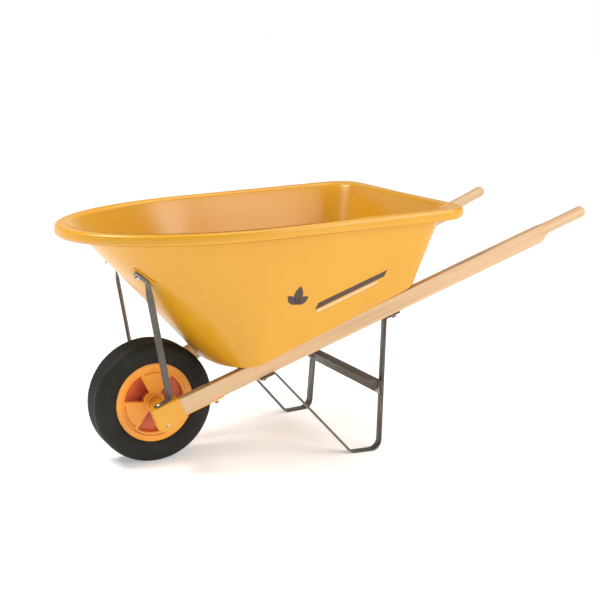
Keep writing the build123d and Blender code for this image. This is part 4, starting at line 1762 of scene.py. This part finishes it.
@dataclass
class Fasteners:
    """Carriage bolts, washers and nuts, placed where the CAD model has them."""

    head_radius: float = 0.009
    head_height: float = 0.004
    shank: float = 0.004
    thread_pitch: float = 0.00125
    thread_depth: float = 0.00045
    thread_length: float = 0.016
    washer_radius: float = 0.008
    washer_thickness: float = 0.0015
    nut_flats: float = 0.013
    nut_height: float = 0.0065
    head_dome: float = 0.94
    head_edge: float = 0.0007
    head_steps: int = 8
    pole: float = 0.00002
    washer_edge: float = 0.0003
    nut_chamfer: float = 0.0007
    nut_sink: float = 0.0008
    nut_spans: int = 48

    @staticmethod
    def islands(node: str) -> list[np.ndarray]:
        """Find the separate solids in a CAD node.

        Args:
            node: The CAD node.

        Returns:
            The vertices of each solid.
        """
        work = bmesh.new()
        work.from_mesh(bpy.data.objects[node].data)
        bmesh.ops.remove_doubles(work, verts=work.verts, dist=2e-6)
        seen: set[int] = set()
        found = []
        for vert in work.verts:
            if vert.index in seen:
                continue
            seen.add(vert.index)
            front, island = [vert], []
            while front:
                at = front.pop()
                island.append(tuple(at.co))
                for edge in at.link_edges:
                    other = edge.other_vert(at)
                    if other.index not in seen:
                        seen.add(other.index)
                        front.append(other)
            found.append(np.array(island))
        work.free()
        return found

    @staticmethod
    def upright(axis: Vector, place: Vector) -> Matrix:
        """A frame at a place whose local Z is the axis."""
        turn = axis.to_track_quat("Z", "X").to_matrix().to_4x4()
        return Matrix.Translation(place) @ turn

    def places(self, node: str, long_axis: bool) -> list[tuple[Matrix, float]]:
        """Frames of the solids in a node.

        Args:
            node: The CAD node.
            long_axis: Whether the axis is the solid's longest direction or its shortest.

        Returns:
            A frame in the middle of each solid with local Z along its axis, and its length.
        """
        result = []
        for points in self.islands(node):
            middle = (points.min(0) + points.max(0)) / 2
            _, ways = np.linalg.eigh(np.cov((points - points.mean(0)).T))
            axis = ways[:, 2 if long_axis else 0]
            along = (points - middle) @ axis
            radial = np.linalg.norm((points - middle) - np.outer(along, axis), axis=1)
            core = (along.max() + along.min()) / 2
            centre = middle + axis * core
            wide = along[radial > radial.max() * 0.8].mean()
            if (wide - core if long_axis else axis[2]) < 0:
                axis = -axis
            result.append((self.upright(Vector(axis), Vector(centre)), float(np.ptp(along))))
        return result

    def bolt_shape(self, length: float) -> bpy.types.Object:
        """A carriage bolt, centred on its whole length, with the head at local +Z.

        Args:
            length: Length over the head.

        Returns:
            The bolt.
        """
        half = length / 2
        neck = half - self.head_height
        dome = math.asin(self.head_dome)
        profile = [(self.pole, half)]
        for step in range(1, self.head_steps + 1):
            share = step / self.head_steps
            fall = (1 - math.cos(math.asin(share * self.head_dome))) / (1 - math.cos(dome))
            profile.append((self.head_radius * share, half - (self.head_height - self.head_edge) * fall))
        profile += [(self.head_radius * 0.985, neck), (self.shank, neck - 0.0001)]
        turns = int(self.thread_length / self.thread_pitch)
        start = -half + turns * self.thread_pitch
        profile.append((self.shank, start))
        for turn in range(turns):
            profile.append((self.shank - self.thread_depth, start - (turn + 0.5) * self.thread_pitch))
            profile.append((self.shank, start - (turn + 1) * self.thread_pitch + 0.0001))
        profile += [(self.shank - 0.0008, -half), (self.pole, -half)]
        return lathe("bolt_shape", profile, 28, Matrix.Identity(4))

    def washer_shape(self, length: float) -> bpy.types.Object:
        """A flat washer with stamped, slightly round edges.

        Args:
            length: Thickness of the CAD solid; every washer has the same shape whatever it is.

        Returns:
            The washer.
        """
        half = self.washer_thickness / 2
        outer, inner, edge = self.washer_radius, self.shank + 0.0002, self.washer_edge
        profile = [(inner, half - edge), (inner + edge, half)]
        profile += [(outer - edge * 1.6, half), (outer, half - edge)]
        profile += [(radius, -height) for radius, height in reversed(profile)]
        return lathe("washer_shape", profile, 32, Matrix.Identity(4))

    def nut_shape(self, length: float) -> bpy.types.Object:
        """A hexagon nut with chamfered corners and a countersunk bore.

        Args:
            length: Height of the CAD solid; every nut has the same shape whatever it is.

        Returns:
            The nut.
        """
        half = self.nut_height / 2
        apothem = self.nut_flats / 2
        angles = [math.tau * step / self.nut_spans for step in range(self.nut_spans)]
        inner, face, corner = half - self.nut_chamfer, 1.02, 1.13
        rings = []
        for height, limit in ((-half, face), (-inner, corner), (inner, corner), (half, face)):
            ring = []
            for angle in angles:
                facet = (angle + math.pi / 6) % (math.pi / 3) - math.pi / 6
                reach = min(apothem / math.cos(facet), apothem * limit)
                ring.append(Vector((reach * math.cos(angle), reach * math.sin(angle), height)))
            rings.append(ring)
        mouth, sunk = self.shank + self.nut_chamfer, half - self.nut_sink
        for radius, height in ((mouth, half), (self.shank, sunk), (self.shank, -sunk), (mouth, -half)):
            rings.append([Vector((radius * math.cos(a), radius * math.sin(a), height)) for a in angles])
        work = bmesh.new()
        skin(work, rings, closed=True)
        return mesh_object("nut_shape", work, 25.0)

    def build(self, workshop: Workshop, repeats: Repeats) -> None:
        """Place every bolt, washer and nut.

        Args:
            workshop: Dresses and places the pieces.
            repeats: Holds the tree that sets a shape on points.
        """
        kinds = {
            "bolts": (self.bolt_shape, True),
            "washers": (self.washer_shape, False),
            "nuts": (self.nut_shape, False),
        }
        finish = workshop.materials["zinc_steel"]
        for group in ("tray", "bracket", "strut_foot", "strut_top", "brace"):
            for kind, (make, long_axis) in kinds.items():
                node = group + "_" + kind
                found = self.places(node, long_axis)
                carrier = points_mesh(node + "_points", [place for place, _ in found])
                shape = make(found[0][1])
                name = node + "_finished"
                piece = repeats.run(name, repeats.on_points, carrier, shape, finish, {"Scale": 1.0})
                workshop.place(piece, "zinc_steel", "zinc_steel", stands_for=[node])


# ---- stage ----
@dataclass
class Studio:
    """Floor, lights and camera."""

    middle: Vector
    floor_radius: float = 400.0
    sky: float = 0.22
    haze_low: float = 0.08
    haze_high: float = 0.30
    camera_place: Vector = field(default_factory=lambda: Vector((-1.5574, -3.0421, 1.1386)))
    camera_target: Vector = field(default_factory=lambda: Vector((-0.0499, 0.0, 0.3909)))
    lens: float = 73.71

    def build_floor(self, workshop: Workshop) -> None:
        """Lay the floor.

        Args:
            workshop: Gives the floor its material.
        """
        workshop.add("studio_floor", StudioFloor())
        work = bmesh.new()
        bmesh.ops.create_circle(work, cap_ends=True, segments=96, radius=self.floor_radius)
        floor = mesh_object("studio_floor", work)
        if floor.data.polygons[0].normal.z < 0:
            floor.data.flip_normals()
        floor.data.materials.append(workshop.materials["studio_floor"])
        floor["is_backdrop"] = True

    def area_light(self, name: str, place: Sequence[float], size: float, power: float, tint: Colour) -> None:
        """Add one soft light that points at the middle of the object.

        Args:
            name: The light's name.
            place: Where it hangs.
            size: Side of its square.
            power: Watts.
            tint: Its colour.
        """
        data = bpy.data.lights.new(name, "AREA")
        data.shape = "SQUARE"
        data.size = size
        data.energy = power
        data.color = tint
        light = bpy.data.objects.new(name, data)
        light.location = place
        light.rotation_mode = "QUATERNION"
        light.rotation_quaternion = (self.middle - Vector(place)).to_track_quat("-Z", "Y")
        bpy.context.scene.collection.objects.link(light)

    @staticmethod
    def sun_light(name: str, source: Sequence[float], spread: float, power: float) -> None:
        """Add one wide, even light from far away.

        Args:
            name: The light's name.
            source: Direction that the light comes from.
            spread: Width of the light in degrees.
            power: Watts per square metre.
        """
        data = bpy.data.lights.new(name, "SUN")
        data.angle = math.radians(spread)
        data.energy = power
        light = bpy.data.objects.new(name, data)
        light.rotation_mode = "QUATERNION"
        light.rotation_quaternion = (-Vector(source)).to_track_quat("-Z", "Y")
        bpy.context.scene.collection.objects.link(light)

    def build_lights(self) -> None:
        """Set a pale world, a wide overhead light and two soft lights."""
        world = bpy.data.worlds.new("studio_air")
        world.use_nodes = True
        nodes, links = world.node_tree.nodes, world.node_tree.links
        air = nodes["Background"]
        air.inputs["Color"].default_value = (1.0, 1.0, 1.0, 1.0)
        direction = nodes.new("ShaderNodeTexCoord")
        parts = nodes.new("ShaderNodeSeparateXYZ")
        fall = nodes.new("ShaderNodeMapRange")
        fall.interpolation_type = "SMOOTHSTEP"
        limits = {"From Min": self.haze_low, "From Max": self.haze_high, "To Min": 1.0, "To Max": self.sky}
        for name, value in limits.items():
            fall.inputs[name].default_value = value
        links.new(direction.outputs["Generated"], parts.inputs["Vector"])
        links.new(parts.outputs["Z"], fall.inputs["Value"])
        links.new(fall.outputs["Result"], air.inputs["Strength"])
        bpy.context.scene.world = world
        self.area_light("key_light", (1.8, -3.0, 1.75), size=1.7, power=58.0, tint=(1.0, 0.98, 0.95))
        self.area_light("top_light", (-1.9, 0.5, 2.7), size=1.0, power=62.0, tint=(1.0, 0.99, 0.96))
        self.sun_light("wide_sun", (0.5, -0.1, 1.0), spread=60.0, power=1.7)

    def build_camera(self) -> None:
        """Set the camera."""
        data = bpy.data.cameras.new("camera")
        data.lens = self.lens
        data.sensor_width = 36.0
        camera = bpy.data.objects.new("camera", data)
        camera.location = self.camera_place
        camera.rotation_mode = "QUATERNION"
        camera.rotation_quaternion = (self.camera_target - self.camera_place).to_track_quat("-Z", "Y")
        bpy.context.scene.collection.objects.link(camera)
        bpy.context.scene.camera = camera
        bpy.context.scene.view_settings.view_transform = "Standard"


def main() -> None:
    """Build the barrow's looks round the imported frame."""
    logging.basicConfig(level=logging.INFO, format="%(name)s: %(message)s")
    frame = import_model()
    cad_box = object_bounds()
    hinge = frame["joints"][0]
    axle = Vector(hinge["pos_m"])
    low, high = cad_box
    workshop = Workshop(axle)
    repeats = Repeats()
    rails = Rails(axle, high.x)
    rails.build(workshop)
    tub = Tub(rails, low.x)
    shell = tub.build(workshop)
    tub.build_supports(workshop)
    Marks(shell).build(workshop)
    wheel = Wheel(axle)
    wheel.build_tyre(workshop, repeats)
    wheel.build_lugs(workshop, repeats)
    wheel.build_hub(workshop)
    Steelwork().build(workshop)
    Fasteners().build(workshop, repeats)
    studio = Studio((low + high) / 2)
    studio.build_floor(workshop)
    studio.build_lights()
    studio.build_camera()


if __name__ == "__main__":
    main()
